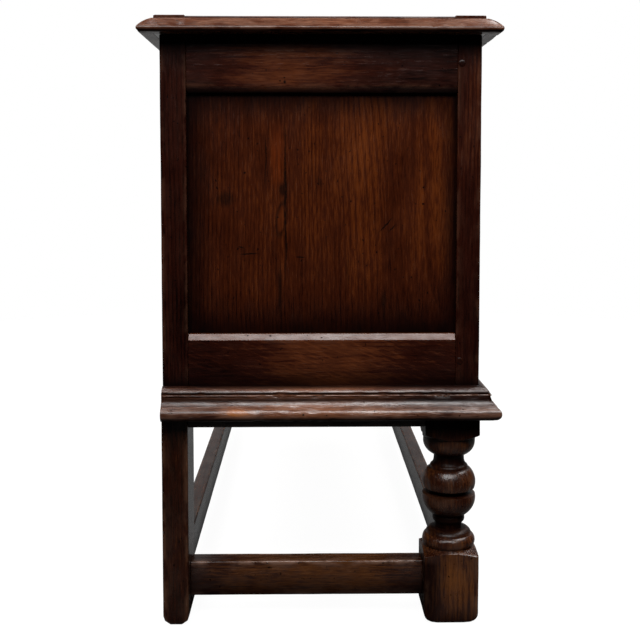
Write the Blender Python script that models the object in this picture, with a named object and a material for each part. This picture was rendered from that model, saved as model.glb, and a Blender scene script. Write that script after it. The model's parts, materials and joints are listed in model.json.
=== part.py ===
"""Oak blanket chest: a framed and panelled case on a low stand with turned front legs, under a hinged lid.

Metres, +Z up. The front faces -Y, left and right are those of someone facing it, and the origin lies on the
floor under the middle of the chest.
"""

import math

import bmesh
import bpy
from mathutils import Vector

# Fits between pieces
FIT = 0.0003
END_GAP = 0.001

# Case
CASE_LENGTH = 1.170
CASE_DEPTH = 0.413
CASE_HEIGHT = 0.4612
STILE_WIDTH = 0.070
FRONT_STILE_THICKNESS = 0.031
BACK_STILE_THICKNESS = 0.0335
CORNER_EASE = 0.003
ARRIS = 0.0012
RAIL_THICKNESS = 0.026
TOP_RAIL_HEIGHT = 0.0735
BOTTOM_RAIL_HEIGHT = 0.0765
FRAME_CHAMFER = 0.007
MUNTIN_WIDTH = 0.070
FRONT_MUNTINS = ("front_left_muntin", "front_right_muntin")
FRONT_PANELS = ("front_left_panel", "front_centre_panel", "front_right_panel")
BACK_MUNTINS = ("back_muntin",)
BACK_PANELS = ("back_left_panel", "back_right_panel")
PANEL_THICKNESS = 0.009
PANEL_RECESS = 0.010
PANEL_TONGUE = 0.008
RAIL_TENON_LENGTH = 0.026
RAIL_TENON_HAUNCH = 0.012
TENON_SHOULDER = 0.004
MORTISE_COVER = 0.010
FLOOR_THICKNESS = 0.012
FLOOR_REBATE = 0.010
FLOOR_BOARDS = 4

# Stand
STAND_PROUD = 0.002
LEG_SQUARE = 0.072
LEG_EASE = 0.003
BACK_LEG_THICKNESS = 0.0345
FOOT_ROUND = 0.009
TOP_BLOCK_HEIGHT = 0.066
CUP_HEIGHT = 0.0255
CUP_BOWL_HEIGHT = 0.0195
CUP_RADIUS = 0.0348
CUP_BOWL_RADIUS = 0.0223
UPPER_NECK_HEIGHT = 0.013
UPPER_NECK_RADIUS = 0.0203
COLLAR_HEIGHT = 0.0055
COLLAR_RADIUS = 0.0254
UPPER_BALL_HEIGHT = 0.0252
UPPER_BALL_PEAK = 0.008
BALL_RADIUS = 0.0358
BALL_HALF_HEIGHT = 0.0295
BALL_GROOVE_WIDTH = 0.0083
BALL_GROOVE_RADIUS = 0.0240
LOWER_BALL_HEIGHT = 0.0285
LOWER_BALL_PEAK = 0.005
RING_HEIGHT = 0.0095
RING_RADIUS = 0.0216
LOWER_NECK_HEIGHT = 0.0080
LOWER_NECK_RADIUS = 0.0178
DOME_HEIGHT = 0.0075
DOME_RADIUS = 0.0302
CUSHION_HEIGHT = 0.0191
CUSHION_RADIUS = 0.0350
CUSHION_ROUND = 0.009
FOOT_BLOCK_HEIGHT = 0.0939
FOOT_SHOULDER_DROP = 0.0028
TOP_SHOULDER_RISE = 0.009
LATHE_STEPS = 24
STAND_RAIL_HEIGHT = 0.0456
STAND_RAIL_THICKNESS = 0.024
STRETCHER_HEIGHT = 0.046
STRETCHER_DROP = 0.0164
STRETCHER_EASE = 0.002
END_STRETCHER_THICKNESS = 0.029
LONG_STRETCHER_THICKNESS = 0.024
FRONT_STRETCHER_SETBACK = 0.010
STAND_TENON_THICKNESS = 0.009
STAND_TENON_LENGTH = 0.022
STAND_TENON_SHOULDER = 0.007

# Base moulding, planted on the stand and lapping the foot of the case
BASE_MOULDING_REACH = 0.024
BASE_MOULDING_DROP = 0.0339
BASE_MOULDING_LAP = 0.0089
BASE_NOSE_RADIUS = 0.0076
BASE_NOSE_TURN = 50
BASE_COVE_RISE = 0.0307
BASE_COVE_REACH = 0.0115
BASE_BEAD_HEIGHT = 0.0028
BASE_BEAD_INSET = 0.0003
BASE_QUIRK_DEPTH = 0.0016
BASE_SLOPE_STEP = 0.0006

# Lid
LID_THICKNESS = 0.0237
LID_OVERHANG_FRONT = 0.0235
LID_OVERHANG_BACK = 0.026
LID_OVERHANG_END = 0.0245
LID_STILE_WIDTH = 0.040
LID_RAIL_WIDTH = 0.060
LID_RAIL_DROP = 0.0013
LID_PANEL_RECESS = 0.005
LID_TENON_LENGTH = 0.022
LID_MUNTINS = ("lid_left_muntin", "lid_right_muntin")
LID_PANELS = ("lid_left_panel", "lid_centre_panel", "lid_right_panel")
LID_MOULDING_WIDTH = 0.0195
LID_MOULDING_HEIGHT = 0.0194
LID_MOULDING_FLAT = 0.0025
LID_NOSE_HEIGHT = 0.0066
LID_NOSE_UNDERCUT = 0.005

# Butt hinges
HINGE_INSET = 0.205
HINGE_LENGTH = 0.064
HINGE_KNUCKLES = 3
HINGE_LEAF_WIDTH = 0.020
HINGE_LEAF_THICKNESS = 0.002
HINGE_BARREL_RADIUS = 0.004
HINGE_BARREL_CLEARANCE = 0.0005
HINGE_PIN_RADIUS = 0.0016
HINGE_BORE_CLEARANCE = 0.0003
HINGE_TONGUE_RELIEF = 0.0001
HINGE_SCREW_RADIUS = 0.0021
HINGE_SCREW_STAGGER = 0.0024
HINGE_SCREWS = 3
HINGE_STEPS = 16

# Heights and half sizes that follow from the sizes above
TURNED_HEIGHTS = (
    CUSHION_HEIGHT,
    DOME_HEIGHT,
    LOWER_NECK_HEIGHT,
    RING_HEIGHT,
    LOWER_BALL_HEIGHT,
    BALL_GROOVE_WIDTH,
    UPPER_BALL_HEIGHT,
    COLLAR_HEIGHT,
    UPPER_NECK_HEIGHT,
    CUP_HEIGHT,
)
STAND_TOP = FOOT_BLOCK_HEIGHT + sum(TURNED_HEIGHTS) + TOP_BLOCK_HEIGHT
CASE_BOTTOM = STAND_TOP + FIT
CASE_TOP = CASE_BOTTOM + CASE_HEIGHT
LID_BOTTOM = CASE_TOP + FIT
LID_TOP = LID_BOTTOM + LID_THICKNESS
HALF_CASE = Vector((CASE_LENGTH / 2, CASE_DEPTH / 2))
HALF_STAND = HALF_CASE + Vector((STAND_PROUD, STAND_PROUD))
GROOVE_DEPTH = PANEL_TONGUE + END_GAP
HINGE_AXIS_Y = HALF_CASE.y + HINGE_BARREL_RADIUS + HINGE_BARREL_CLEARANCE
HINGE_AXIS_Z = (CASE_TOP + LID_BOTTOM) / 2
LID_HALF_LENGTH = HALF_CASE.x + LID_OVERHANG_END - LID_MOULDING_WIDTH
LID_FRONT_EDGE = -HALF_CASE.y - LID_OVERHANG_FRONT + LID_MOULDING_WIDTH
LID_BACK_EDGE = HALF_CASE.y + LID_OVERHANG_BACK - LID_MOULDING_WIDTH

# How far a cutter runs past the face that it opens, and a tenon's root into its own member
OVERCUT = TENON_SHOULDER

# The axis that each side's outward normal lies on, and its sign
SIDES = {"front": (1, -1), "back": (1, 1), "left": (0, -1), "right": (0, 1)}


# Outlines


def softened(outline, eases):
    """The outline with each corner named in eases rounded, starting that far back along its two edges."""
    points = []
    for index, corner in enumerate(outline):
        ease = eases.get(index, 0.0)
        if ease == 0.0:
            points.append(tuple(corner))
            continue
        here = Vector(corner)
        start = here + (Vector(outline[index - 1]) - here).normalized() * ease
        end = here + (Vector(outline[(index + 1) % len(outline)]) - here).normalized() * ease
        middle = (start + end) / 4 + here / 2
        points += [tuple(start), tuple(middle), tuple(end)]
    return points


def rectangle(low, high):
    return [(low[0], low[1]), (high[0], low[1]), (high[0], high[1]), (low[0], high[1])]


def arc(centre, radii, start, end, steps):
    """Points along an ellipse's arc, from the start angle to the end angle in degrees, both included."""
    points = []
    for step in range(steps + 1):
        angle = math.radians(start + (end - start) * step / steps)
        points.append((centre[0] + radii[0] * math.cos(angle), centre[1] + radii[1] * math.sin(angle)))
    return points


def on_side(side, half, depth, along, height):
    """The point this far in from a side's outer face, this far along it and this high."""
    axis, sign = SIDES[side]
    point = [along, along, height]
    point[axis] = sign * (half[axis] - depth)
    return Vector(point)


def side_box(side, half, depths, alongs, heights):
    """The corners of a box given by its ranges in from, along and up a side."""
    first = on_side(side, half, depths[0], alongs[0], heights[0])
    second = on_side(side, half, depths[1], alongs[1], heights[1])
    return first, second


# Solids


def finish(name, colour, roughness, metallic=0.0):
    material = bpy.data.materials.new(name)
    material.use_nodes = True
    shader = material.node_tree.nodes["Principled BSDF"]
    shader.inputs["Base Color"].default_value = (*colour, 1.0)
    shader.inputs["Roughness"].default_value = roughness
    shader.inputs["Metallic"].default_value = metallic
    return material


def add_object(name, bm, material, parent):
    """An object with the bmesh as its mesh, its own origin at the middle of its box, under the parent."""
    bmesh.ops.recalc_face_normals(bm, faces=bm.faces)
    low = Vector(tuple(min(vertex.co[axis] for vertex in bm.verts) for axis in range(3)))
    high = Vector(tuple(max(vertex.co[axis] for vertex in bm.verts) for axis in range(3)))
    middle = (low + high) / 2
    bmesh.ops.translate(bm, verts=bm.verts, vec=-middle)
    mesh = bpy.data.meshes.new(name)
    bm.to_mesh(mesh)
    bm.free()
    obj = bpy.data.objects.new(name, mesh)
    bpy.context.scene.collection.objects.link(obj)
    obj.location = middle
    if parent is not None:
        obj.parent = parent
        obj.location = middle - parent.location
    if material is not None:
        mesh.materials.append(material)
    return obj


def add_helper(name, bm):
    """A cutter or a guide: it shapes another object and is no piece of the chest."""
    helper = add_object(name, bm, None, None)
    helper.hide_render = True
    helper.display_type = "WIRE"
    return helper


def add_ring(bm, points):
    return bm.faces.new([bm.verts.new(point) for point in points])


def extruded(ring, travel):
    """A bmesh of the closed ring of points, drawn out by the vector travel."""
    bm = bmesh.new()
    face = add_ring(bm, ring)
    drawn = bmesh.ops.extrude_face_region(bm, geom=[face])
    moved = [item for item in drawn["geom"] if isinstance(item, bmesh.types.BMVert)]
    bmesh.ops.translate(bm, verts=moved, vec=travel)
    return bm


def bridged(first, second):
    """A bmesh that joins two closed rings with as many points each, capped at both ends."""
    bm = bmesh.new()
    caps = [add_ring(bm, first), add_ring(bm, second)]
    edges = [edge for cap in caps for edge in cap.edges]
    bmesh.ops.bridge_loops(bm, edges=edges)
    return bm


def side_prism(side, half, outline, start, end):
    """An outline of (depth in, height) points drawn out along a side from start to end."""
    ring = [on_side(side, half, depth, start, height) for depth, height in outline]
    travel = on_side(side, half, 0.0, end, 0.0) - on_side(side, half, 0.0, start, 0.0)
    return extruded(ring, travel)


def upright_prism(outline, bottom, top):
    """An outline of (x, y) points drawn up from bottom to top."""
    return extruded([Vector((x, y, bottom)) for x, y in outline], Vector((0.0, 0.0, top - bottom)))


def boxes_bmesh(boxes):
    bm = bmesh.new()
    for first, second in boxes:
        low = Vector(tuple(min(pair) for pair in zip(first, second)))
        high = Vector(tuple(max(pair) for pair in zip(first, second)))
        made = bmesh.ops.create_cube(bm, size=1.0)
        bmesh.ops.scale(bm, verts=made["verts"], vec=high - low)
        bmesh.ops.translate(bm, verts=made["verts"], vec=(low + high) / 2)
    return bm


def cylinders_bmesh(middles, direction, radius, length, steps):
    """Cylinders of one size about the middles, lying along the direction."""
    bm = bmesh.new()
    turn = Vector((0.0, 0.0, 1.0)).rotation_difference(Vector(direction)).to_matrix()
    for middle in middles:
        made = bmesh.ops.create_cone(
            bm, cap_ends=True, segments=steps, radius1=radius, radius2=radius, depth=length
        )
        bmesh.ops.rotate(bm, verts=made["verts"], cent=(0.0, 0.0, 0.0), matrix=turn)
        bmesh.ops.translate(bm, verts=made["verts"], vec=middle)
    return bm


def combine(piece, operation, helper):
    modifier = piece.modifiers.new(helper.name, "BOOLEAN")
    modifier.operation = operation
    modifier.solver = "EXACT"
    modifier.object = helper


def join_boxes(piece, boxes, label="tenons"):
    combine(piece, "UNION", add_helper(f"{piece.name}_{label}", boxes_bmesh(boxes)))


def cut_boxes(piece, boxes, label="mortises"):
    combine(piece, "DIFFERENCE", add_helper(f"{piece.name}_{label}", boxes_bmesh(boxes)))


def shade_round(piece, angle=35.0):
    piece.data.shade_smooth()
    piece.data.set_sharp_from_angle(angle=math.radians(angle))


# Joints between members


def tenon_boxes(side, half, depths, ends, lengths, heights):
    """A tenon past each end of a member that runs along a side. Each starts inside the member."""
    start, end = ends
    return [
        side_box(side, half, depths, (start - lengths[0], start + OVERCUT), heights),
        side_box(side, half, depths, (end - OVERCUT, end + lengths[1]), heights),
    ]


def mortise_boxes(side, half, depths, ends, lengths, heights):
    """The two mortises that those tenons go into, clear of them all round and open at the shoulder."""
    start, end = ends
    wide = (depths[0] - FIT, depths[1] + FIT)
    tall = (heights[0] - FIT, heights[1] + FIT)
    return [
        side_box(side, half, wide, (start - lengths[0] - END_GAP, start + OVERCUT), tall),
        side_box(side, half, wide, (end - OVERCUT, end + lengths[1] + END_GAP), tall),
    ]


# Case


def groove_depths():
    return PANEL_RECESS - FIT, PANEL_RECESS + PANEL_THICKNESS + FIT


def tenon_depths():
    return PANEL_RECESS, PANEL_RECESS + PANEL_THICKNESS


def bottom_rail_outline(chamfer, rebated):
    """Section of a bottom rail: chamfered towards the panel, grooved for it, rebated below for the floor."""
    top = CASE_BOTTOM + BOTTOM_RAIL_HEIGHT
    near, far = groove_depths()
    outline = [(0.0, CASE_BOTTOM), (0.0, top - chamfer), (chamfer, top)]
    if chamfer == 0.0:
        outline.pop()
    outline += [(near, top), (near, top - GROOVE_DEPTH), (far, top - GROOVE_DEPTH), (far, top)]
    outline.append((RAIL_THICKNESS, top))
    if rebated:
        rebate_top = CASE_BOTTOM + FLOOR_THICKNESS + FIT
        rebate_wall = RAIL_THICKNESS - FLOOR_REBATE
        outline += [(RAIL_THICKNESS, rebate_top), (rebate_wall, rebate_top), (rebate_wall, CASE_BOTTOM)]
    else:
        outline.append((RAIL_THICKNESS, CASE_BOTTOM))
    return outline


def top_rail_outline(chamfer):
    """Section of a top rail: the same chamfer and groove, facing down."""
    bottom = CASE_TOP - TOP_RAIL_HEIGHT
    near, far = groove_depths()
    outline = [(0.0, CASE_TOP), (0.0, bottom + chamfer), (chamfer, bottom)]
    if chamfer == 0.0:
        outline.pop()
    outline += [(near, bottom), (near, bottom + GROOVE_DEPTH), (far, bottom + GROOVE_DEPTH), (far, bottom)]
    return outline + [(RAIL_THICKNESS, bottom), (RAIL_THICKNESS, CASE_TOP)]


def muntin_outline(chamfer):
    """Side view of a muntin, whose shoulders are scribed over the chamfers of the rails."""
    bottom = CASE_BOTTOM + BOTTOM_RAIL_HEIGHT + FIT
    top = CASE_TOP - TOP_RAIL_HEIGHT - FIT
    outline = [(0.0, bottom - chamfer), (0.0, top + chamfer), (chamfer, top), (RAIL_THICKNESS, top)]
    outline += [(RAIL_THICKNESS, bottom), (chamfer, bottom)]
    if chamfer == 0.0:
        outline = rectangle((0.0, bottom), (RAIL_THICKNESS, top))
    return outline


def frame_muntins(side, names, openings, chamfer, oak, chest):
    """Muntins between the openings, stub tenoned into the rails' grooves and grooved for the panels."""
    bottom = CASE_BOTTOM + BOTTOM_RAIL_HEIGHT
    top = CASE_TOP - TOP_RAIL_HEIGHT
    stub_half = MUNTIN_WIDTH / 2 - GROOVE_DEPTH - TENON_SHOULDER
    beyond = chamfer + OVERCUT
    for name, before, after in zip(names, openings, openings[1:]):
        ends = (before[1], after[0])
        middle = sum(ends) / 2
        bm = side_prism(side, HALF_CASE, muntin_outline(chamfer), ends[0] + FIT, ends[1] - FIT)
        muntin = add_object(name, bm, oak, chest)
        stub = (middle - stub_half, middle + stub_half)
        low = (bottom - PANEL_TONGUE, bottom + OVERCUT)
        high = (top - OVERCUT, top + PANEL_TONGUE)
        join_boxes(muntin, [side_box(side, HALF_CASE, tenon_depths(), stub, span) for span in (low, high)])
        grooves = []
        for edge, inward in ((ends[0], 1), (ends[1], -1)):
            alongs = (edge - inward * OVERCUT, edge + inward * GROOVE_DEPTH)
            heights = (bottom - beyond, top + beyond)
            grooves.append(side_box(side, HALF_CASE, groove_depths(), alongs, heights))
        cut_boxes(muntin, grooves, "grooves")


def frame_panels(side, names, openings, oak, chest):
    bottom = CASE_BOTTOM + BOTTOM_RAIL_HEIGHT - PANEL_TONGUE
    top = CASE_TOP - TOP_RAIL_HEIGHT + PANEL_TONGUE
    outline = rectangle((PANEL_RECESS, bottom), (PANEL_RECESS + PANEL_THICKNESS, top))
    for name, (start, end) in zip(names, openings):
        bm = side_prism(side, HALF_CASE, outline, start - PANEL_TONGUE, end + PANEL_TONGUE)
        add_object(name, bm, oak, chest)


def framed_side(side, stiles, span, lengths, chamfer, rebated, muntins, panels, oak, chest):
    """The rails, muntins and panels of one side. Gives each stile's cuts and the two rails."""
    ends = (span[0] + FIT, span[1] - FIT)
    bottom = CASE_BOTTOM + BOTTOM_RAIL_HEIGHT
    top = CASE_TOP - TOP_RAIL_HEIGHT
    low_tenon = (
        CASE_BOTTOM + FLOOR_THICKNESS + FIT + TENON_SHOULDER,
        bottom - GROOVE_DEPTH - TENON_SHOULDER,
    )
    high_tenon = (top + GROOVE_DEPTH + TENON_SHOULDER, CASE_TOP - RAIL_TENON_HAUNCH)
    cuts = {name: [] for name in stiles}
    rails = []
    sections = (
        ("bottom_rail", bottom_rail_outline(chamfer, rebated), low_tenon),
        ("top_rail", top_rail_outline(chamfer), high_tenon),
    )
    for label, outline, heights in sections:
        rail = add_object(f"{side}_{label}", side_prism(side, HALF_CASE, outline, *ends), oak["frame"], chest)
        join_boxes(rail, tenon_boxes(side, HALF_CASE, tenon_depths(), ends, lengths, heights))
        boxes = mortise_boxes(side, HALF_CASE, tenon_depths(), ends, lengths, heights)
        for name, box in zip(stiles, boxes):
            cuts[name].append(box)
        rails.append(rail)
    groove_heights = (bottom - GROOVE_DEPTH, top + GROOVE_DEPTH)
    for name, edge, outward in zip(stiles, span, (-1, 1)):
        alongs = (edge - outward * OVERCUT, edge + outward * GROOVE_DEPTH)
        cuts[name].append(side_box(side, HALF_CASE, groove_depths(), alongs, groove_heights))
    width = (span[1] - span[0] - len(muntins) * MUNTIN_WIDTH) / len(panels)
    starts = [span[0] + index * (width + MUNTIN_WIDTH) for index in range(len(panels))]
    openings = [(start, start + width) for start in starts]
    frame_muntins(side, muntins, openings, chamfer, oak["frame"], chest)
    frame_panels(side, panels, openings, oak["panel"], chest)
    return cuts, rails


def case_stile(name, x_sign, y_sign, thickness, cuts, oak, chest):
    outer = Vector((x_sign * HALF_CASE.x, y_sign * HALF_CASE.y))
    inner = outer - Vector((x_sign * STILE_WIDTH, y_sign * thickness))
    outline = [tuple(outer), (inner.x, outer.y), tuple(inner), (outer.x, inner.y)]
    outline = softened(outline, {0: CORNER_EASE, 1: ARRIS, 2: ARRIS, 3: ARRIS})
    stile = add_object(name, upright_prism(outline, CASE_BOTTOM, CASE_TOP), oak, chest)
    cut_boxes(stile, cuts)


def floor_boards(oak, chest):
    """Boards that run from front to back, let into the rails' rebates and notched round the corner stiles."""
    inner = HALF_CASE.x - RAIL_THICKNESS - FIT
    reach = HALF_CASE.y - RAIL_THICKNESS + FLOOR_REBATE - FIT
    width = 2 * inner / FLOOR_BOARDS
    for index in range(FLOOR_BOARDS):
        start = -inner + index * width
        low = Vector((start + FIT / 2, -reach, CASE_BOTTOM))
        high = Vector((start + width - FIT / 2, reach, CASE_BOTTOM + FLOOR_THICKNESS))
        board = add_object(f"floor_board_{index + 1}", boxes_bmesh([(low, high)]), oak, chest)
        notches = []
        for x_sign, y_sign, thickness in (
            (-1, -1, FRONT_STILE_THICKNESS),
            (-1, 1, BACK_STILE_THICKNESS),
            (1, -1, FRONT_STILE_THICKNESS),
            (1, 1, BACK_STILE_THICKNESS),
        ):
            corner_x = x_sign * (HALF_CASE.x - STILE_WIDTH - FIT)
            corner_y = y_sign * (HALF_CASE.y - thickness - FIT)
            outside = Vector((x_sign * HALF_CASE.x, y_sign * HALF_CASE.y, high.z + OVERCUT))
            inside = Vector((corner_x, corner_y, low.z - OVERCUT))
            reached = low.x < corner_x if x_sign < 0 else high.x > corner_x
            if reached and reach > abs(corner_y):
                notches.append((inside, outside))
        if notches:
            cut_boxes(board, notches, "notches")


def make_case(oak, chest):
    stile_inner = HALF_CASE.x - STILE_WIDTH
    long_span = (-stile_inner, stile_inner)
    end_span = (-HALF_CASE.y + FRONT_STILE_THICKNESS, HALF_CASE.y - BACK_STILE_THICKNESS)
    long_tenons = (RAIL_TENON_LENGTH, RAIL_TENON_LENGTH)
    end_tenons = (FRONT_STILE_THICKNESS - MORTISE_COVER, BACK_STILE_THICKNESS - MORTISE_COVER)
    frames = (
        ("front", "front_left_stile", "front_right_stile", FRAME_CHAMFER, FRONT_MUNTINS, FRONT_PANELS),
        ("back", "back_left_stile", "back_right_stile", 0.0, BACK_MUNTINS, BACK_PANELS),
        ("left", "front_left_stile", "back_left_stile", FRAME_CHAMFER, (), ("left_end_panel",)),
        ("right", "front_right_stile", "back_right_stile", FRAME_CHAMFER, (), ("right_end_panel",)),
    )
    stile_cuts = {}
    rails = {}
    for side, first, second, chamfer, muntins, panels in frames:
        is_long = side in ("front", "back")
        cuts, made = framed_side(
            side,
            (first, second),
            long_span if is_long else end_span,
            long_tenons if is_long else end_tenons,
            chamfer,
            is_long,
            muntins,
            panels,
            oak,
            chest,
        )
        rails[side] = made
        for name, boxes in cuts.items():
            stile_cuts.setdefault(name, []).extend(boxes)
    for end, x_sign in (("left", -1), ("right", 1)):
        front = f"front_{end}_stile"
        back = f"back_{end}_stile"
        case_stile(front, x_sign, -1, FRONT_STILE_THICKNESS, stile_cuts[front], oak["frame"], chest)
        case_stile(back, x_sign, 1, BACK_STILE_THICKNESS, stile_cuts[back], oak["frame"], chest)
    floor_boards(oak["inner"], chest)
    return rails["back"][1]


# Stand


def ball_points(bottom, top, peak, steps):
    """A stretch of the leg's ball, which is widest at the height peak."""
    points = []
    for step in range(steps + 1):
        height = bottom + (top - bottom) * step / steps
        drop = (height - peak) / BALL_HALF_HEIGHT
        points.append((BALL_RADIUS * math.sqrt(max(0.0, 1.0 - drop * drop)), height))
    return points


def turned_profile():
    """The front leg's turning as (radius, height) points, from below the foot to above the top block."""
    corner = LEG_SQUARE * math.sqrt(0.5)
    beyond = LEG_SQUARE
    cushion = FOOT_BLOCK_HEIGHT
    dome = cushion + CUSHION_HEIGHT
    neck = dome + DOME_HEIGHT
    ring = neck + LOWER_NECK_HEIGHT
    ball = ring + RING_HEIGHT
    groove = ball + LOWER_BALL_HEIGHT
    upper_ball = groove + BALL_GROOVE_WIDTH
    collar = upper_ball + UPPER_BALL_HEIGHT
    upper_neck = collar + COLLAR_HEIGHT
    cup = upper_neck + UPPER_NECK_HEIGHT
    block = cup + CUP_HEIGHT

    # Square foot, its shoulder and the two tiers of the cushion on it
    points = [(0.0, -OVERCUT), (beyond, -OVERCUT), (beyond, cushion - FOOT_SHOULDER_DROP)]
    points += [(corner, cushion - FOOT_SHOULDER_DROP), (CUSHION_RADIUS, cushion)]
    half_cushion = CUSHION_HEIGHT / 2
    points += arc(
        (CUSHION_RADIUS - CUSHION_ROUND, cushion + half_cushion), (CUSHION_ROUND, half_cushion), -50, 65, 7
    )
    points += arc((LOWER_NECK_RADIUS, dome), (DOME_RADIUS - LOWER_NECK_RADIUS, DOME_HEIGHT), 0, 75, 4)

    # Narrow neck and its ring
    points += [(LOWER_NECK_RADIUS, neck), (LOWER_NECK_RADIUS, ring - LOWER_NECK_HEIGHT / 3)]
    half_ring = RING_HEIGHT / 2
    points += arc((RING_RADIUS - half_ring / 2, ring + half_ring), (half_ring / 2, half_ring), -80, 80, 4)

    # Ball, cut in two by a deep groove
    points += ball_points(ball, groove, groove - LOWER_BALL_PEAK, 8)
    points += [(BALL_GROOVE_RADIUS, groove + BALL_GROOVE_WIDTH / 3)]
    points += [(BALL_GROOVE_RADIUS, upper_ball - BALL_GROOVE_WIDTH / 3)]
    points += ball_points(upper_ball, collar, upper_ball + UPPER_BALL_PEAK, 8)

    # Collar, hollow neck and the cup under the top block
    points += [(COLLAR_RADIUS, collar + COLLAR_HEIGHT / 4), (COLLAR_RADIUS, upper_neck - COLLAR_HEIGHT / 4)]
    flare = COLLAR_RADIUS - UPPER_NECK_RADIUS
    hollow_top = cup - UPPER_NECK_HEIGHT / 4
    points += arc((COLLAR_RADIUS, hollow_top), (flare, hollow_top - upper_neck), 260, 180, 4)
    points += [(UPPER_NECK_RADIUS, cup)]
    bowl_middle = (CUP_RADIUS - CUP_BOWL_RADIUS, cup + CUP_BOWL_HEIGHT)
    points += arc(bowl_middle, (CUP_BOWL_RADIUS, CUP_BOWL_HEIGHT), -66, 0, 6)
    points += [(CUP_RADIUS, block), (corner, block + TOP_SHOULDER_RISE), (beyond, block + TOP_SHOULDER_RISE)]
    return points + [(beyond, STAND_TOP + OVERCUT), (0.0, STAND_TOP + OVERCUT)]


def lathe_bmesh(profile, centre):
    """The profile spun about the upright line through centre."""
    bm = bmesh.new()
    verts = [bm.verts.new((centre[0] + radius, centre[1], height)) for radius, height in profile]
    edges = [bm.edges.new(pair) for pair in zip(verts, verts[1:])]
    bmesh.ops.spin(
        bm,
        geom=verts + edges,
        cent=(centre[0], centre[1], 0.0),
        axis=(0.0, 0.0, 1.0),
        angle=2 * math.pi,
        steps=LATHE_STEPS,
        use_merge=True,
    )
    bmesh.ops.remove_doubles(bm, verts=bm.verts, dist=1e-6)
    return bm


def leg_blank(name, x_sign, y_sign, thickness, oak, chest):
    """A sawn leg with eased corners, worn round at the floor. Gives it and the middle of its section."""
    outer = Vector((x_sign * HALF_STAND.x, y_sign * HALF_STAND.y))
    inner = outer - Vector((x_sign * LEG_SQUARE, y_sign * thickness))
    corners = rectangle(outer, inner)
    outline = softened(corners, {index: LEG_EASE for index in range(4)})
    bm = upright_prism(outline, 0.0, STAND_TOP)
    ground = [edge for edge in bm.edges if all(vertex.co.z < FIT for vertex in edge.verts)]
    bmesh.ops.bevel(bm, geom=ground, offset=FOOT_ROUND, segments=3, profile=0.5, affect="EDGES")
    return add_object(name, bm, oak, chest), (outer + inner) / 2


def stand_member(name, side, depths, heights, ends, tenon, lengths, ease, oak, chest):
    """A rail or stretcher along one side of the stand, and the boxes of its two mortises."""
    shoulders = (ends[0] + FIT, ends[1] - FIT)
    outline = rectangle((depths[0], heights[0]), (depths[1], heights[1]))
    if ease > 0.0:
        outline = softened(outline, {index: ease for index in range(4)})
    member = add_object(name, side_prism(side, HALF_STAND, outline, *shoulders), oak, chest)
    tenon_heights = (heights[0] + STAND_TENON_SHOULDER, heights[1] - STAND_TENON_SHOULDER)
    join_boxes(member, tenon_boxes(side, HALF_STAND, tenon, shoulders, lengths, tenon_heights))
    return mortise_boxes(side, HALF_STAND, tenon, shoulders, lengths, tenon_heights)


def make_stand(oak, chest):
    long_inner = HALF_STAND.x - LEG_SQUARE
    long_ends = (-long_inner, long_inner)
    end_ends = (-HALF_STAND.y + LEG_SQUARE, HALF_STAND.y - BACK_LEG_THICKNESS)
    long_tenons = (STAND_TENON_LENGTH, STAND_TENON_LENGTH)
    end_tenons = (STAND_TENON_LENGTH, BACK_LEG_THICKNESS - MORTISE_COVER)
    rail_heights = (STAND_TOP - STAND_RAIL_HEIGHT, STAND_TOP)
    stretcher_top = FOOT_BLOCK_HEIGHT - STRETCHER_DROP
    stretcher_heights = (stretcher_top - STRETCHER_HEIGHT, stretcher_top)
    rail_depths = (0.0, STAND_RAIL_THICKNESS)
    setbacks = {
        "front": FRONT_STRETCHER_SETBACK,
        "back": 0.0,
        "left": (LEG_SQUARE - END_STRETCHER_THICKNESS) / 2,
        "right": (LEG_SQUARE - END_STRETCHER_THICKNESS) / 2,
    }
    legs = {"front": ("front_left_leg", "front_right_leg"), "back": ("back_left_leg", "back_right_leg")}
    legs["left"] = ("front_left_leg", "back_left_leg")
    legs["right"] = ("front_right_leg", "back_right_leg")
    cuts = {name: [] for name in legs["front"] + legs["back"]}
    for side, setback in setbacks.items():
        is_long = side in ("front", "back")
        ends = long_ends if is_long else end_ends
        lengths = long_tenons if is_long else end_tenons
        thickness = LONG_STRETCHER_THICKNESS if is_long else END_STRETCHER_THICKNESS
        members = (
            (f"stand_{side}_rail", rail_depths, rail_heights, 0.0),
            (f"{side}_stretcher", (setback, setback + thickness), stretcher_heights, STRETCHER_EASE),
        )
        for name, depths, heights, ease in members:
            tenon_start = (sum(depths) - STAND_TENON_THICKNESS) / 2
            tenon = (tenon_start, tenon_start + STAND_TENON_THICKNESS)
            boxes = stand_member(
                name, side, depths, heights, ends, tenon, lengths, ease, oak["stand"], chest
            )
            for leg, box in zip(legs[side], boxes):
                cuts[leg].append(box)
    for end, x_sign in (("left", -1), ("right", 1)):
        name = f"front_{end}_leg"
        leg, centre = leg_blank(name, x_sign, -1, LEG_SQUARE, oak["stand"], chest)
        turning = add_helper(f"{name}_turning", lathe_bmesh(turned_profile(), centre))
        shade_round(turning)
        combine(leg, "INTERSECT", turning)
        cut_boxes(leg, cuts[name])
        name = f"back_{end}_leg"
        leg, centre = leg_blank(name, x_sign, 1, BACK_LEG_THICKNESS, oak["stand"], chest)
        cut_boxes(leg, cuts[name])
    base_mouldings(oak["moulding"], chest)


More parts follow.
